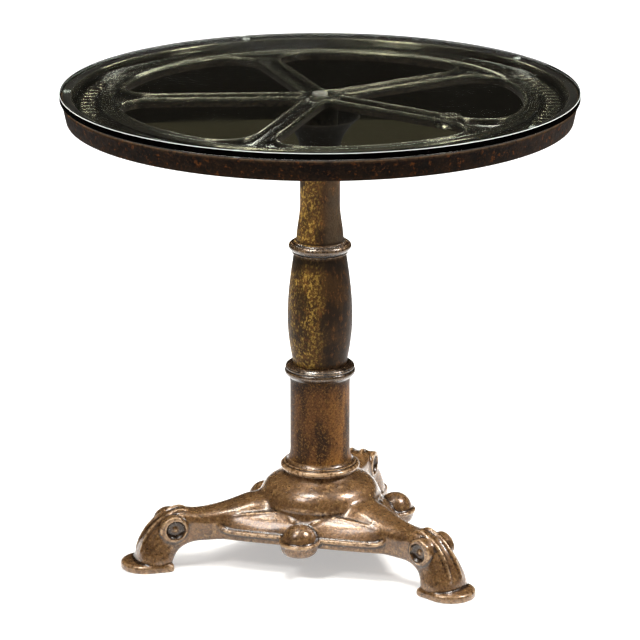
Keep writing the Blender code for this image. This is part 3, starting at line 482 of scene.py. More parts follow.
def mark_wear(mesh, rounds):
    """Stores how far each point stands out: 0.5 is flat, above it an edge, below it a hollow."""
    count = len(mesh.vertices)
    place, normal = np.empty((2, count * 3))
    mesh.vertices.foreach_get("co", place)
    mesh.vertices.foreach_get("normal", normal)
    place, normal = place.reshape(-1, 3), normal.reshape(-1, 3)
    ends = np.empty(len(mesh.edges) * 2, dtype=np.int64)
    mesh.edges.foreach_get("vertices", ends)
    one = np.concatenate([ends[0::2], ends[1::2]])
    other = np.concatenate([ends[1::2], ends[0::2]])
    step = place[other] - place[one]
    length = np.maximum(np.linalg.norm(step, axis=1), 1e-5)
    bend = -2.0 * np.einsum("ij,ij->i", step, normal[one]) / length ** 2
    near = np.bincount(one, minlength=count).clip(1)
    curve = np.bincount(one, weights=bend, minlength=count) / near
    curve = np.clip(curve, -SHARPEST_BEND, SHARPEST_BEND)
    for _ in range(rounds):
        curve = (curve + np.bincount(one, weights=curve[other], minlength=count) / near) / 2.0
    stored = mesh.attributes.new("wear", "FLOAT", "POINT")
    stored.data.foreach_set("value", np.clip(0.5 + curve / WEAR_RANGE, 0.0, 1.0).astype(np.float32))


mark_wear(tripod_base.data, 3)


def linear(code):
    """The linear colour of an sRGB hex code."""
    parts = [int(code[i:i + 2], 16) / 255 for i in (1, 3, 5)]
    return [p / 12.92 if p <= 0.04045 else ((p + 0.055) / 1.055) ** 2.4 for p in parts] + [1.0]


def new_material(name):
    """A material, its tree, its shader and the piece's own coordinates."""
    made = bpy.data.materials.new(name)
    made.use_nodes = True
    tree = made.node_tree
    return made, tree, tree.nodes["Principled BSDF"], node(tree, "ShaderNodeTexCoord", out="Object")


def dressed(piece, materials, chosen=None):
    """Gives a piece its materials; chosen says which of them a face takes."""
    piece.data.materials.clear()
    for material in materials:
        piece.data.materials.append(material)
    for face in piece.data.polygons if chosen else ():
        face.material_index = chosen(face)


# Sand grain and larger specks, both drawn coarser than they are so that they show.
GRAIN_SIZE, SPECK_SIZE, GRAIN_DEPTH = 0.0026, 0.0065, 0.0011


def patinated_iron(name, ground, layers, dirt_and_shade, worn_and_highlight, gloss, metal, coat, relief=0.35, shine=0.5):
    """Old cast iron: a ground colour under layers of scale, rust or gilding, with sand grain.

    A layer is its colour, the size of its patches, the noise where it starts and where it is full and
    how much of it covers. It may add how far its patches are drawn out downwards and where it lies:
    None for all over, or a direction with the distances along it where it starts and is full. The
    dirt colour lies in the sand pits and in the hollows, where it is grime and also painted shade; the
    worn colour shows on the edges, as wear and also as painted highlight; gloss is the range of the
    roughness, relief how far the grain stands out and shine how strongly the skin over the metal
    reflects."""
    made, tree, shader, place = new_material(name)
    coats = []
    for code, size, low, high, most, *more in layers:
        stretch, where = more or (1.0, None)
        drawn = node(tree, "ShaderNodeMapping", {"Vector": place, "Scale": (1.0, 1.0, 1.0 / stretch)})
        patch = node(tree, "ShaderNodeTexNoise",
                     {"Vector": drawn, "Scale": 1.0 / size, "Detail": 5.0, "Roughness": 0.65})
        share = node(tree, "ShaderNodeMapRange",
                     {"Value": patch, "From Min": low, "From Max": high, "To Max": most})
        if where:
            along = node(tree, "ShaderNodeVectorMath", {0: place, 1: where[0]}, out="Value",
                         operation="DOT_PRODUCT")
            near = node(tree, "ShaderNodeMapRange",
                        {"Value": along, "From Min": where[1], "From Max": where[2]})
            share = node(tree, "ShaderNodeMath", {0: share, 1: near}, operation="MULTIPLY")
        coats.append((share, code))
    grain, speck = [
        node(tree, "ShaderNodeTexNoise", {"Vector": place, "Scale": 1.0 / size, "Detail": detail})
        for size, detail in ((GRAIN_SIZE, 3.0), (SPECK_SIZE, 4.0))]
    wear = node(tree, "ShaderNodeAttribute", out="Fac", attribute_name="wear")
    pits = node(tree, "ShaderNodeMapRange", {"Value": grain, "From Min": 0.38, "From Max": 0.56,
                                             "To Min": 1.4 * relief, "To Max": 0.0})
    # Darker in the hollows: grime, and also painted shade.
    hollow_dirt_and_shade = node(tree, "ShaderNodeMapRange",
                   {"Value": wear, "From Min": 0.49, "From Max": 0.41, "To Max": 0.9})
    dirt_and_shade_share = node(tree, "ShaderNodeMath", {0: pits, 1: hollow_dirt_and_shade}, operation="MAXIMUM")
    # Lighter on the edges: wear, and also painted highlight.
    edges = node(tree, "ShaderNodeMapRange", {"Value": wear, "From Min": 0.55, "From Max": 0.72})
    broken = node(tree, "ShaderNodeMapRange",
                  {"Value": speck, "From Min": 0.36, "From Max": 0.56, "To Max": 0.8})
    rubbed = node(tree, "ShaderNodeMath", {0: edges, 1: broken}, operation="MULTIPLY")
    colour = linear(ground)
    for share, code in coats + [(dirt_and_shade_share, dirt_and_shade), (rubbed, worn_and_highlight)]:
        colour = node(tree, "ShaderNodeMix", {0: share, 6: colour, 7: linear(code)}, out=2, data_type="RGBA")
    rough = node(tree, "ShaderNodeMapRange", {"Value": speck, "From Min": 0.30, "From Max": 0.70,
                                              "To Min": gloss[0], "To Max": gloss[1]})
    height = node(tree, "ShaderNodeMath", {0: grain, 1: speck}, operation="ADD")
    bump = node(tree, "ShaderNodeBump", {"Height": height, "Strength": relief, "Distance": GRAIN_DEPTH})
    fill(shader, {"Base Color": colour, "Roughness": rough, "Normal": bump, "Metallic": metal,
                  "Specular IOR Level": shine, "Coat Weight": coat, "Coat Roughness": 0.14})
    return made


# Waxed cast iron: golden brown, mottled with dark scale, tan where hands and feet have rubbed it.
waxed_iron = patinated_iron(
    "waxed_brown_cast_iron", "#7f5b37",
    [("#4a3220", 0.030, 0.48, 0.62, 0.6), ("#b18a5a", 0.0060, 0.52, 0.64, 0.7),
     ("#2a1a0c", 0.0040, 0.54, 0.64, 0.8)],
    "#22150b", "#c9a57c", (0.22, 0.36), 0.3, 0.65)
dressed(tripod_base, [waxed_iron])
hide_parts("tripod_base")
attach(tripod_base, "root")


# Drum: the lowest of the three column castings, turned after casting. A flange stands on the base,
# and three bands at its top take the foot of the baluster. Same brown iron, streaked down its length.

COLUMN_STEPS = 144
DRUM_RADIUS, COVE_RADIUS, COVE_FOOT, COVE_RISE = 0.0475, 0.0578, 0.1540, 0.0208
FLANGE_TOP, BANDS_FOOT = 0.1600, 0.2965
drum_outline = [
    (0.0385, 0.1418), (0.0560, 0.1418), (0.0596, 0.1420),
    *bow(0.0566, 0.1472, 0.0067, 0.0048, -62.0, 80.0, 14),
    (0.0574, 0.1524), (0.0576, 0.1532),
    *bow(COVE_RADIUS, COVE_FOOT + COVE_RISE, COVE_RADIUS - DRUM_RADIUS, COVE_RISE, -90.0, -180.0, 12),
    (DRUM_RADIUS, 0.2000), (DRUM_RADIUS, 0.2400), (DRUM_RADIUS, 0.2860),
    (0.0478, 0.2895), (0.0487, 0.2930), (0.0505, 0.2962), (0.0524, 0.2982),
    *bow(0.0515, 0.3045, 0.0049, 0.0054, -72.0, 64.0, 12),
    (0.0538, 0.3096), (0.0537, 0.3101),
    *bow(0.0530, 0.3117, 0.0021, 0.0016, -56.0, 66.0, 6),
    (0.0537, 0.3135), (0.0538, 0.3140), (0.0541, 0.3143), (0.0538, 0.3147), (0.0530, 0.3154),
    (0.0518, 0.3164), (0.0506, 0.3172), (0.0490, 0.3178), (0.0470, 0.3180), (0.0440, 0.3180),
    (0.0385, 0.3180)]
drum = object_from("cast_drum", turned(drum_outline, COLUMN_STEPS, True), sharp=50.0)
mark_wear(drum.data, 2)

# Brown iron that has been wiped downwards: black streaks, specks of ochre and dirt, more orange to the
# right, and nearly black under the bands, which is dirt and also painted shadow of the bands.
streaked_iron = patinated_iron(
    "streaked_brown_cast_iron", "#5e3c1f",
    [("#9a6630", 0.020, 0.40, 0.56, 0.85, 2.0, ((1.0, 0.0, 0.0), 0.0, 0.040)),
     ("#22150b", 0.024, 0.47, 0.60, 0.85, 5.0, None),
     # Dirt and painted shadow under the bands.
     ("#1b1109", 0.020, 0.30, 0.50, 0.8, 1.0, ((0.0, 0.0, 1.0), 0.276, 0.294)),
     ("#946a34", 0.0030, 0.53, 0.62, 0.6), ("#1b1109", 0.0034, 0.55, 0.64, 0.7)],
    "#1b1109", "#a88d72", (0.34, 0.50), 0.0, 0.0, shine=0.1)
# Rubbed iron on the bands: dark brown and black, smooth and waxed, so that it takes sharp lights.
rubbed_iron = patinated_iron(
    "rubbed_dark_cast_iron", "#473425",
    [("#1a130d", 0.02, 0.46, 0.60, 0.8), ("#6d4c2c", 0.005, 0.54, 0.64, 0.6)],
    "#120d09", "#7d6448", (0.16, 0.30), 0.35, 0.8)
dressed(drum, [streaked_iron, rubbed_iron, waxed_iron],
        lambda face: 2 if face.center.z < FLANGE_TOP else int(face.center.z > BANDS_FOOT))
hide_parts("column_drum")
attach(drum, "root")


# Baluster: the middle casting, a hollow turned swelling that stands in the drum's bands over a spigot.
# It was gilded once, and the gilding is left in flakes on dark brown iron.

BALUSTER_FOOT, BALUSTER_BELLY, BALUSTER_TOP = 0.3183, 0.3933, 0.4985
FOOT_RADIUS, BELLY_RADIUS, TOP_RADIUS = 0.0427, 0.0515, 0.0414


def rising(foot, top, steps, radius_at):
    """Points of a turned outline at even heights; radius_at takes the share of the way up."""
    return [(radius_at(k / steps), foot + (top - foot) * (k / steps)) for k in range(steps + 1)]


lower = rising(BALUSTER_FOOT, BALUSTER_BELLY, 16,
               lambda share: FOOT_RADIUS + (BELLY_RADIUS - FOOT_RADIUS) * math.sin(math.pi / 2 * share))
upper = rising(BALUSTER_BELLY, BALUSTER_TOP, 24,
               lambda share: TOP_RADIUS + (BELLY_RADIUS - TOP_RADIUS) * math.cos(math.pi / 2 * share))
baluster_outline = [(0.0335, 0.3123), (0.0382, 0.3123), (0.0382, BALUSTER_FOOT), *lower[:-1], *upper,
                    (0.0335, BALUSTER_TOP)]
baluster = object_from("cast_baluster", turned(baluster_outline, COLUMN_STEPS, True), sharp=50.0)
mark_wear(baluster.data, 2)

# Gilded cast iron: crumbs of old gilding on a yellow-brown wash, more of it to the left, with dark
# scale that has come through, and a black band under the ring above that is dirt and also painted
# shadow of the ring.
TO_THE_LEFT = ((-1.0, -0.4, 0.0), 0.006, 0.038)
GILDING = [("#5e421d", 0.030, 0.42, 0.56, 0.8, 2.0, TO_THE_LEFT),
           ("#b28d3f", 0.0034, 0.51, 0.58, 0.85, 1.5, TO_THE_LEFT),
           ("#20150b", 0.026, 0.50, 0.58, 0.85, 1.6, None), ("#6e4520", 0.006, 0.56, 0.64, 0.6, 2.0, None)]
# Dirt and painted shadow under the ring.
DIRT_AND_SHADE_BAND = ("#15100b", 0.02, 0.30, 0.50, 0.8, 1.0, ((0.0, 0.0, 1.0), 0.466, 0.488))
gilded_iron = patinated_iron("gilded_cast_iron", "#362411", GILDING + [DIRT_AND_SHADE_BAND], "#1b1109", "#8d6b48",
                             (0.34, 0.50), 0.0, 0.0, shine=0.1)
dressed(baluster, [gilded_iron])
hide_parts("column_baluster")
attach(baluster, "root")


# Neck: the upper casting, with a ring at its foot and a flared cup at its top that takes the wheel's
# hub. Gilded like the baluster.

NECK_FOOT, RING_TOP, NECK_TOP = 0.4988, 0.5188, 0.6900
NECK_RADIUS, TAPER, TAPER_FOOT, TAPER_TOP = 0.0315, 0.0057, 0.5192, 0.5787
CUP_FOOT, CUP_TOP, CUP_FLARE, CUP_SHADE_FOOT = 0.6550, 0.7105, 0.0310, 0.6660
neck_outline = [
    (0.0235, 0.4928), (0.0332, 0.4928), (0.0332, NECK_FOOT), (0.0428, NECK_FOOT), (0.0440, 0.4994),
    (0.0441, 0.5006), (0.0436, 0.5020), (0.0438, 0.5032),
    *bow(0.0420, 0.5100, 0.0076, 0.0067, -64.0, 70.0, 16),
    (0.0438, 0.5167), (0.0430, 0.5177), (0.0408, 0.5185),
    *rising(TAPER_FOOT, TAPER_TOP, 12,
            lambda share: NECK_RADIUS + TAPER * (1.0 + math.cos(math.pi * share)) / 2),
    *rising(CUP_FOOT, CUP_TOP, 16, lambda share: NECK_RADIUS + CUP_FLARE * share ** 2.2),
    (0.0610, CUP_TOP), (0.0590, 0.7098), (0.0576, 0.7080), (0.0470, 0.6985), (0.0340, NECK_TOP),
    (0.0235, NECK_TOP)]
neck = object_from("cast_neck", turned(neck_outline, COLUMN_STEPS, True), sharp=50.0)
mark_wear(neck.data, 2)

# The same gilding, with a dark brown stain down the right side, and painted shade: black up towards the cup,
# which lies in the wheel's shadow.
STAIN_AND_SHADE = [("#3a2f22", 0.05, 0.38, 0.50, 0.85, 3.0, ((1.0, -0.2, 0.0), 0.010, 0.022)),
         ("#0a0806", 0.02, 0.10, 0.30, 1.0, 1.0, ((0.0, 0.0, 1.0), 0.640, 0.672))]
stained_shaded_gilding = patinated_iron("stained_shaded_gilded_cast_iron", "#3c2814", GILDING + STAIN_AND_SHADE, "#1b1109", "#8d6b48",
                                (0.40, 0.56), 0.0, 0.0, shine=0.1)
# Black, dull iron as painted shade: in the cup, under the wheel, on the low walls of its openings and on its
# lip's top under the glass.
shade_black_iron = patinated_iron(
    "shade_black_cast_iron", "#0d0b08", [("#1d1712", 0.01, 0.56, 0.68, 0.6)],
    "#060504", "#2a241c", (0.70, 0.85), 0.0, 0.0, shine=0.05)
# Above the cup's shade line the neck is painted black as shade under the wheel.
dressed(neck, [stained_shaded_gilding, rubbed_iron, shade_black_iron],
        lambda face: 1 if face.center.z < RING_TOP else 2 * int(face.center.z > CUP_SHADE_FOOT))
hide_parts("column_neck")
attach(neck, "root")


# Tie rod, spreader plate, washer and nuts: plain drawn and turned steel inside the column and under
# the dome. They clamp the whole table together.

# Drawn steel: grey, with a little brown rust and turning lines, which are drawn coarser than they are.
RUST_SIZE, WAVE_SIZE = 0.006, 0.0016  # a wave of this size draws lines 0.5 mm apart
drawn_steel, tree, shader, place = new_material("drawn_steel")
rust = node(tree, "ShaderNodeTexNoise", {"Vector": place, "Scale": 1.0 / RUST_SIZE, "Detail": 4.0})
share = node(tree, "ShaderNodeMapRange", {"Value": rust, "From Min": 0.5, "From Max": 0.7})
colour = node(tree, "ShaderNodeMix", {0: share, 6: linear("#8f8c86"), 7: linear("#6b4a32")}, out=2,
              data_type="RGBA")
rough = node(tree, "ShaderNodeMapRange",
             {"Value": rust, "From Min": 0.35, "From Max": 0.7, "To Min": 0.30, "To Max": 0.62})
lines = node(tree, "ShaderNodeTexWave", {"Vector": place, "Scale": 1.0 / WAVE_SIZE, "Distortion": 1.0},
             out="Fac", bands_direction="Z")
bump = node(tree, "ShaderNodeBump", {"Height": lines, "Strength": 0.12, "Distance": 0.0003})
fill(shader, {"Base Color": colour, "Roughness": rough, "Normal": bump, "Metallic": 1.0})
for name in ("tie_rod", "spreader_plate", "rod_washer", "rod_nut", "rod_lock_nut"):
    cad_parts[name].material_slots[0].material = drawn_steel


# Mill wheel: a hand-mill flywheel, one iron casting. A rim with a lip and a sunk channel, a bead
# ring, five spokes with a rounded edge round every opening, a hub and the boss of a lost crank.
# Its hub stands in the column's cup. It is oiled on top and rusty outside; underneath, on the low walls of
# the openings and on the lip's top it is painted black as shade.

SPOKE_COUNT, FIRST_SPOKE = 5, 180.0
SPOKE_TURN = 360.0 / SPOKE_COUNT
SPOKE_HALF_WIDTH, SPOKE_CROWN = 0.0185, 0.0030
LIP_TOP, CHANNEL_FLOOR, BEAD_RING = 0.7492, 0.7362, 0.3322
OPENING_RADIUS, OPENING_CORNER, OPENING_NOSE = 0.3162, 0.0520, 0.0100
UNDER_DROP, HOLLOW_DROP = 0.0208, 0.0130  # below the lip's top
RING_STEPS, HUB_STEPS = 24, 4
HUB_REACH, CRANK_REACH, REED_REACH = 0.0100, 0.2450, 0.3615
REED_PITCH, REED_FOOT = 3.3, -0.0020
RUST_REACH, UNDER_SHADE_TOP = 0.3925, 0.7398
FLAT, STEEP = 0.95, 0.30  # how far a face points up
rim_outline = [
    (0.3857, 0.7174), (0.3930, 0.7174), (0.3942, 0.7178), (0.3948, 0.7189), (0.3998, 0.7428),
    (0.4004, 0.7440), (0.4010, 0.7452), (0.4012, 0.7468), (0.4009, 0.7482), (0.3999, 0.7490),
    (0.3982, LIP_TOP), (0.3922, LIP_TOP), (0.3879, LIP_TOP), (0.3862, 0.7488), (0.3852, 0.7478),
    (0.3843, 0.7440), (0.3830, 0.7404), (0.3812, 0.7380), (0.3786, 0.7366), (0.3750, CHANNEL_FLOOR),
    (0.3550, CHANNEL_FLOOR), (0.3427, 0.7363),
    *bow(BEAD_RING, CHANNEL_FLOOR, 0.0085, 0.0070, 6.0, 180.0, 16),
    (0.3237, 0.7282), (0.3550, 0.7282), (0.3810, 0.7282), (0.3850, 0.7272), (0.3857, 0.7250)]
wheel = object_from("cast_mill_wheel", turned(rim_outline, 240, True))


def arc(centre, radius, start, end, steps):
    """Plan points round an arc, angles in radians."""
    turns = [start + (end - start) * k / steps for k in range(steps + 1)]
    return [centre + Vector((math.cos(t), math.sin(t))) * radius for t in turns]


def opening_outline(inset):
    """Plan outline of the opening centred on +X, moved into the iron by inset."""
    half_turn = math.pi / SPOKE_COUNT
    side = SPOKE_HALF_WIDTH - inset
    outer, corner, nose = OPENING_RADIUS + inset, OPENING_CORNER + inset, OPENING_NOSE + inset
    reach = math.sqrt((outer - corner) ** 2 - (side + corner) ** 2)
    along = Vector((math.cos(half_turn), math.sin(half_turn)))
    across = Vector((math.sin(half_turn), -math.cos(half_turn)))
    corner_centre = along * reach + across * (side + corner)
    nose_centre = Vector(((side + nose) / math.sin(half_turn), 0.0))
    outer_angle = math.atan2(corner_centre.y, corner_centre.x)
    side_angle = half_turn + math.pi / 2
    bend = arc(corner_centre, corner, outer_angle, side_angle, 18)
    tip = arc(nose_centre, nose, side_angle, math.pi, 8)
    upper = arc(Vector((0.0, 0.0)), outer, 0.0, outer_angle, 14)[:-1] + bend
    upper += [bend[-1].lerp(tip[0], k / 16) for k in range(1, 16)] + tip
    return upper + [Vector((p.x, -p.y)) for p in upper[-2:0:-1]]


def crowned(point, drop):
    """A point of the spokes: drop below the lip's top, raised a little towards the hub."""
    share = min(1.0, math.hypot(point[0], point[1]) / BEAD_RING)
    return Vector((point[0], point[1], LIP_TOP - drop + SPOKE_CROWN * (1.0 - share)))


# A fifth of the spokes: from the underside up the opening's wall, over its round edge, to the hollow
# between two edges. The fifths meet along the middle of each spoke.
edge_rows = [
    (0.0007, UNDER_DROP), (0.0, 0.0200), (0.0, 0.0105), (0.0003, 0.0088), (0.0011, 0.0073),
    (0.0023, 0.0063), (0.0038, 0.0060), (0.0053, 0.0064), (0.0066, 0.0075), (0.0075, 0.0091),
    (0.0083, 0.0109), (0.0093, 0.0123), (0.0107, HOLLOW_DROP)]
fifth = bmesh.new()
loops = bridged(fifth, [[crowned(p, drop) for p in opening_outline(inset)] for inset, drop in edge_rows])
half = SPOKE_TURN / 2
border = [on_circle(BEAD_RING, -half + SPOKE_TURN * k / RING_STEPS) for k in range(RING_STEPS + 1)]
border += [on_circle(BEAD_RING + (HUB_REACH - BEAD_RING) * k / RING_STEPS, half)
           for k in range(1, RING_STEPS + 1)]
border += [on_circle(HUB_REACH, half - SPOKE_TURN * k / HUB_STEPS) for k in range(1, HUB_STEPS + 1)]
border += [on_circle(HUB_REACH + (BEAD_RING - HUB_REACH) * k / RING_STEPS, -half)
           for k in range(1, RING_STEPS)]
borders = []
for loop, drop in ((loops[0], UNDER_DROP), (loops[-1], HOLLOW_DROP)):
    ring = [fifth.verts.new(crowned(p, drop)) for p in border]
    edges = []
    for row in (loop, ring):
        for one, other in zip(row, row[1:] + row[:1]):
            edges.append(fifth.edges.get((one, other)) or fifth.edges.new((one, other)))
    bmesh.ops.triangle_fill(fifth, use_beauty=True, edges=edges)
    borders.append(ring)
for first, last in ((0, RING_STEPS), (2 * RING_STEPS, 2 * RING_STEPS + HUB_STEPS)):
    for k in range(first, last):
        fifth.faces.new((borders[0][k], borders[0][k + 1], borders[1][k + 1], borders[1][k]))
spokes = stepped_round(object_from("spokes", fifth), SPOKE_COUNT, FIRST_SPOKE + half, SPOKE_TURN)
joined(wheel, spokes, "UNION")

hub_outline = [
    (ROD_BORE, 0.6823), (0.0232, 0.6823), (0.0232, 0.6903), (0.0274, 0.6903), (0.0280, 0.6909),
    (0.0280, 0.7230), (0.0284, 0.7262), (0.0296, 0.7290), (0.0322, 0.7318), (0.0310, 0.7372),
    (0.0262, 0.7388), (0.0216, 0.7404), (0.0184, 0.7424), (0.0168, 0.7436), (0.0160, 0.7444),
    (0.0148, 0.7447), (ROD_BORE, 0.7447)]
joined(wheel, object_from("hub", turned(hub_outline, 72, True)), "UNION")
crank_boss = [
    (0.0, 0.7322), (0.0250, 0.7322), (0.0222, 0.7362), (0.0192, 0.7384), (0.0172, 0.7406),
    (0.0164, 0.7434), (0.0163, 0.7466), (0.0158, 0.7477), (0.0148, 0.7482), (0.0092, 0.7482),
    (0.0082, 0.7475), (0.0080, 0.7466), (0.0080, 0.7340), (0.0, 0.7340)]
boss = object_from("boss", turned(crank_boss, 40, False))
boss.data.transform(Matrix.Translation(on_circle(CRANK_REACH, FIRST_SPOKE + 2 * SPOKE_TURN)))
joined(wheel, boss, "UNION")
joined(wheel, object_from("rod_hole", rod(ROD_BORE, 0.600, 0.800, 48)), "DIFFERENCE")

# Plain raised reeds stand in the channel on both sides, with a round stud at each end of a row.
for first, count in ((180.0 - 4 * REED_PITCH, 9), (-7 * REED_PITCH, 15)):
    loops = []
    for reach, width, rise in (
            (0.3505, 0.0006, 0.0002), (0.3512, 0.0015, 0.0014), (0.3530, 0.0019, 0.0021),
            (REED_REACH, 0.0020, 0.0023), (0.3700, 0.0019, 0.0021), (0.3718, 0.0015, 0.0014),
            (0.3725, 0.0006, 0.0002)):
        section = [(width * math.cos(math.pi * k / 6), rise * math.sin(math.pi * k / 6)) for k in range(7)]
        section += [(-width, REED_FOOT), (width, REED_FOOT)]
        loops.append([Vector((reach, side, CHANNEL_FLOOR + up)) for side, up in section])
    reeds = stepped_round(object_from("reeds", skinned(loops)), count, first, REED_PITCH)
    joined(wheel, reeds, "UNION")
    stud = bmesh.new()
    stud_outline = [(0.0, REED_FOOT), (0.0034, REED_FOOT), (0.0034, 0.0004), (0.0028, 0.0020),
                    (0.0014, 0.0029), (0.0, 0.0031)]
    poured(stud, turned(stud_outline, 20, False), Matrix.Translation((REED_REACH, 0.0, CHANNEL_FLOOR)))
    studs = stepped_round(object_from("studs", stud), 2, first - REED_PITCH, REED_PITCH * (count + 1))
    joined(wheel, studs, "UNION")
wheel.data.shade_smooth()
wheel.data.set_sharp_from_angle(angle=math.radians(48.0))
mark_wear(wheel.data, 1)

# Oiled cast iron: a dark warm grey, smooth, and bright where the light strikes the ribs; its pale worn
# colour on the ribs' crests is wear and also painted highlight.
oiled_iron = patinated_iron(
    "oiled_dark_cast_iron", "#48443a",
    [("#221f17", 0.03, 0.46, 0.66, 0.6), ("#3a2b1c", 0.02, 0.56, 0.66, 0.5)],
    "#12100c", "#8f8978", (0.11, 0.135), 0.9, 0.0, relief=0.008)
# Rusty cast iron on the rim's outside: dull black-brown with orange spots, never polished.
rusty_iron = patinated_iron(
    "rusty_cast_iron", "#20140a",
    [("#0c0805", 0.03, 0.46, 0.60, 0.8), ("#6b3c16", 0.011, 0.57, 0.66, 0.75),
     ("#3d2411", 0.005, 0.54, 0.64, 0.6)],
    "#080504", "#35271a", (0.60, 0.76), 0.0, 0.0, shine=0.05)


def wheel_iron(face):
    """Black painted shade on the lip's flat top, on the underside and on the low steep walls; rusty outside,
    oiled elsewhere.
    """
    out = math.hypot(face.center.x, face.center.y)
    on_lip = face.center.z > LIP_TOP - HAIR and face.normal.z > FLAT
    under = out < RUST_REACH and face.center.z < UNDER_SHADE_TOP and face.normal.z < STEEP
    return 2 if on_lip or under else int(out > RUST_REACH)


dressed(wheel, [oiled_iron, rusty_iron, shade_black_iron], wheel_iron)
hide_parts("mill_wheel")
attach(wheel, "root")


# Cap nut: a low round button, turned from steel bar and left bright. It screws down on the rod's
# upper end and clamps the wheel, the column and the base together.

cap_outline = [
    (0.0, 0.7490), (ROD_BORE, 0.7490), (ROD_BORE, 0.7450), (0.0114, 0.7450), (0.0119, 0.7454),
    (0.0120, 0.7462), (0.0120, 0.7478), (0.0116, 0.7490),
    *bow(0.0, 0.7484, 0.0112, 0.0021, 30.0, 84.0, 6), (0.0, 0.7505)]
cap_nut = object_from("turned_cap_nut", turned(cap_outline, 48, False))
dressed(cap_nut, [drawn_steel])
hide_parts("hub_cap_nut")
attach(cap_nut, "root")


# Bumpers: five moulded clear vinyl buttons with a sticky back. They sit on the rim's lip at the ends
# of the spokes and keep the glass off the iron.

BUMPER_REACH, BUBBLE_SIZE = 0.3932, 0.0020
bumper_outline = [
    (0.0, 0.7495), (0.0057, 0.7495), (0.0060, 0.7498), (0.0060, 0.7506), (0.0058, 0.7512),
    (0.0053, 0.7516), (0.0045, 0.7517), (0.0, 0.7517)]
bumper = bmesh.new()
poured(bumper, turned(bumper_outline, 32, False), Matrix.Translation((BUMPER_REACH, 0.0, 0.0)))

# Clear vinyl: soft, slightly milky, with a satin skin and a few bubbles.
clear_vinyl, tree, shader, place = new_material("clear_vinyl")
milk = node(tree, "ShaderNodeTexNoise", {"Vector": place, "Scale": 1.0 / BUBBLE_SIZE, "Detail": 2.0})
colour = node(tree, "ShaderNodeMix", {0: milk, 6: linear("#dfe5dc"), 7: linear("#f4f6f0")}, out=2,
              data_type="RGBA")
rough = node(tree, "ShaderNodeMapRange", {"Value": milk, "To Min": 0.15, "To Max": 0.35})
fill(shader, {"Base Color": colour, "Roughness": rough, "IOR": 1.53, "Transmission Weight": 0.85})
bumpers = stepped_round(object_from("clear_bumpers", bumper), SPOKE_COUNT, FIRST_SPOKE, SPOKE_TURN,
                        clear_vinyl)
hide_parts(*[f"glass_bumper_{k + 1}" for k in range(SPOKE_COUNT)])
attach(bumpers, "root")


# Glass top: a round pane of 10 mm plate glass, cut and ground to a flat edge with small arrises. It
# lies loose on the bumpers and reaches a little past the wheel's rim.

GLASS_RADIUS, GLASS_FOOT, GLASS_TOP = 0.4045, 0.7520, 0.7620
ARRIS, MIDWAY = 0.0005, 0.2
SMEAR_SIZE, FROST_SIZE, GLASS_IOR = 0.09, 0.02, 1.52
pane_outline = [
    (0.0, GLASS_FOOT), (MIDWAY, GLASS_FOOT), (GLASS_RADIUS - ARRIS, GLASS_FOOT),
    (GLASS_RADIUS, GLASS_FOOT + ARRIS), (GLASS_RADIUS, GLASS_TOP - ARRIS),
    (GLASS_RADIUS - ARRIS, GLASS_TOP), (MIDWAY, GLASS_TOP), (0.0, GLASS_TOP)]
pane = object_from("plate_glass_top", turned(pane_outline, 288, False), sharp=20.0)

# Plate glass: clear with a faint green of its iron, mirror smooth, wiped, so only a trace of smear.
# Ground glass on the upper arris: frosted, so that it catches the light as a white line.
glasses = []
for word, code, size, detail, (low, high), (least, most), clear in (
        ("plate_glass", "#f1f5ef", SMEAR_SIZE, 3.0, (0.4, 0.75), (0.0, 0.03), 1.0),
        ("ground_glass", "#f4f7f3", FROST_SIZE, 4.0, (0.0, 1.0), (0.35, 0.75), 0.25)):
    glass, tree, shader, place = new_material(word)
    smear = node(tree, "ShaderNodeTexNoise", {"Vector": place, "Scale": 1.0 / size, "Detail": detail})
    rough = node(tree, "ShaderNodeMapRange",
                 {"Value": smear, "From Min": low, "From Max": high, "To Min": least, "To Max": most})
    fill(shader, {"Base Color": linear(code), "Roughness": rough, "IOR": GLASS_IOR,
                  "Transmission Weight": clear})
    glasses.append(glass)
dressed(pane, glasses, lambda face: int(GLASS_TOP - ARRIS < face.center.z < GLASS_TOP - ARRIS / 9))
pane.visible_shadow = False
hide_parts("glass_top")
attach(pane, "root")


# Studio: a pale floor, three soft boxes, a short strip behind, an even white surround, and a dark flag
# round the set, which only mirrors and glass see, so that the pane isn't veiled in white.

scene = bpy.context.scene
GLOW_START, GLOW_FULL, GLOW_LEAST = 0.35, 1.5, 0.40
FLAG_RADIUS, FLAG_BACK, FLAG_FOOT, FLAG_TOP, CLOTH_FOOT = 1.90, 1.91, 0.004, 3.40, 0.24
SURROUND = 0.32  # grey level that lights the table; the white one is only seen
LENS, CAMERA_TILT = 207.9, 16.897
floor = object_from("studio_floor", turned([(0.0, 0.0), (0.6, 0.0), (1.4, 0.0), (7.0, 0.0)], 96, False))
if floor.data.polygons[0].normal.z < 0.0:
    floor.data.flip_normals()


def shown_white(tree):
    """1 for rays of the camera, of mirrors and of glass."""
    rays = node(tree, "ShaderNodeLightPath").node.outputs
    either = node(tree, "ShaderNodeMath", {0: rays["Is Camera Ray"], 1: rays["Is Glossy Ray"]},
                  operation="MAXIMUM")
    return node(tree, "ShaderNodeMath", {0: either, 1: rays["Is Transmission Ray"]}, operation="MAXIMUM")


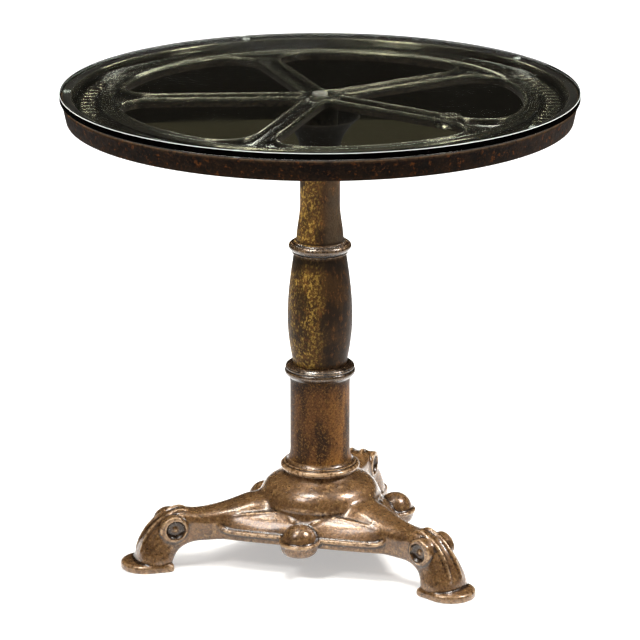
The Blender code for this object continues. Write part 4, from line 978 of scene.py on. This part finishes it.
# Pale floor: matt, white far out and greyer under the table.
pale_floor, tree, shader, place = new_material("pale_floor")
tree.nodes.remove(shader)
away = node(tree, "ShaderNodeVectorMath", {0: place}, out="Value", operation="LENGTH")
lift = node(tree, "ShaderNodeMapRange", {"Value": away, "From Min": GLOW_START, "From Max": GLOW_FULL,
                                         "To Min": GLOW_LEAST, "To Max": 1.0},
            interpolation_type="SMOOTHSTEP")
strength = node(tree, "ShaderNodeMath", {0: lift, 1: shown_white(tree)}, operation="MULTIPLY")
glow = node(tree, "ShaderNodeEmission", {"Strength": strength})
matt = node(tree, "ShaderNodeBsdfDiffuse", {"Color": linear("#e6e4e0")})
both = node(tree, "ShaderNodeAddShader", {0: matt, 1: glow})
fill(tree.nodes["Material Output"], {"Surface": both})
dressed(floor, [pale_floor])

flag_outline = [(FLAG_RADIUS, FLAG_FOOT), (FLAG_RADIUS, CLOTH_FOOT), (FLAG_RADIUS, FLAG_TOP),
                (FLAG_BACK, FLAG_TOP), (FLAG_BACK, FLAG_FOOT)]
flag = object_from("dark_flag", turned(flag_outline, 96, True))
sheets = []
for word, code in (("black_cloth", "#12110e"), ("brown_board", "#3e3a2c")):
    sheet, _, shader, _ = new_material(word)
    fill(shader, {"Base Color": linear(code), "Roughness": 1.0, "Specular IOR Level": 0.0})
    sheets.append(sheet)
dressed(flag, sheets, lambda face: int(face.center.z < CLOTH_FOOT))
flag.visible_camera = flag.visible_diffuse = flag.visible_shadow = False

# The strip draws light lines on the wheel's ribs. Mirrors don't show it, so that the pane stays dark.
for word, place, width, height, power, aim in (
        ("left_soft_box", (-0.54, -0.30, 2.20), 0.60, 0.60, 32.0, 0.40),
        ("front_soft_box", (-1.12, -1.00, 2.00), 0.60, 0.60, 18.0, 0.20),
        ("right_soft_box", (1.62, -0.20, 2.25), 0.50, 0.70, 66.0, 0.40),
        ("back_strip", (0.0, 0.72, 1.22), 0.72, 0.10, 5.4, 0.75)):
    lamp = bpy.data.lights.new(word, "AREA")
    lamp.shape, lamp.size, lamp.size_y, lamp.energy = "RECTANGLE", width, height, power
    made = bpy.data.objects.new(word, lamp)
    made.location = place
    towards = Vector((0.0, 0.0, aim)) - made.location
    made.rotation_euler = towards.to_track_quat("-Z", "Y").to_euler()
    made.visible_glossy = word != "back_strip"
    scene.collection.objects.link(made)

world = bpy.data.worlds.new("white_surround")
scene.world = world
world.use_nodes = True
tree = world.node_tree
grey = (SURROUND, SURROUND, SURROUND, 1.0)
tint = node(tree, "ShaderNodeMix", {0: shown_white(tree), 6: grey, 7: (1.0, 1.0, 1.0, 1.0)},
            out=2, data_type="RGBA")
fill(tree.nodes["Background"], {"Color": tint})

camera = bpy.data.cameras.new("camera")
camera.sensor_width = 36.0
camera.lens = LENS
camera_object = bpy.data.objects.new("camera", camera)
camera_object.location = (0.0, -5.6, 2.0882)
camera_object.rotation_euler = (math.radians(90.0 - CAMERA_TILT), 0.0, 0.0)
scene.collection.objects.link(camera_object)
scene.camera = camera_object
scene.view_settings.view_transform = "Standard"
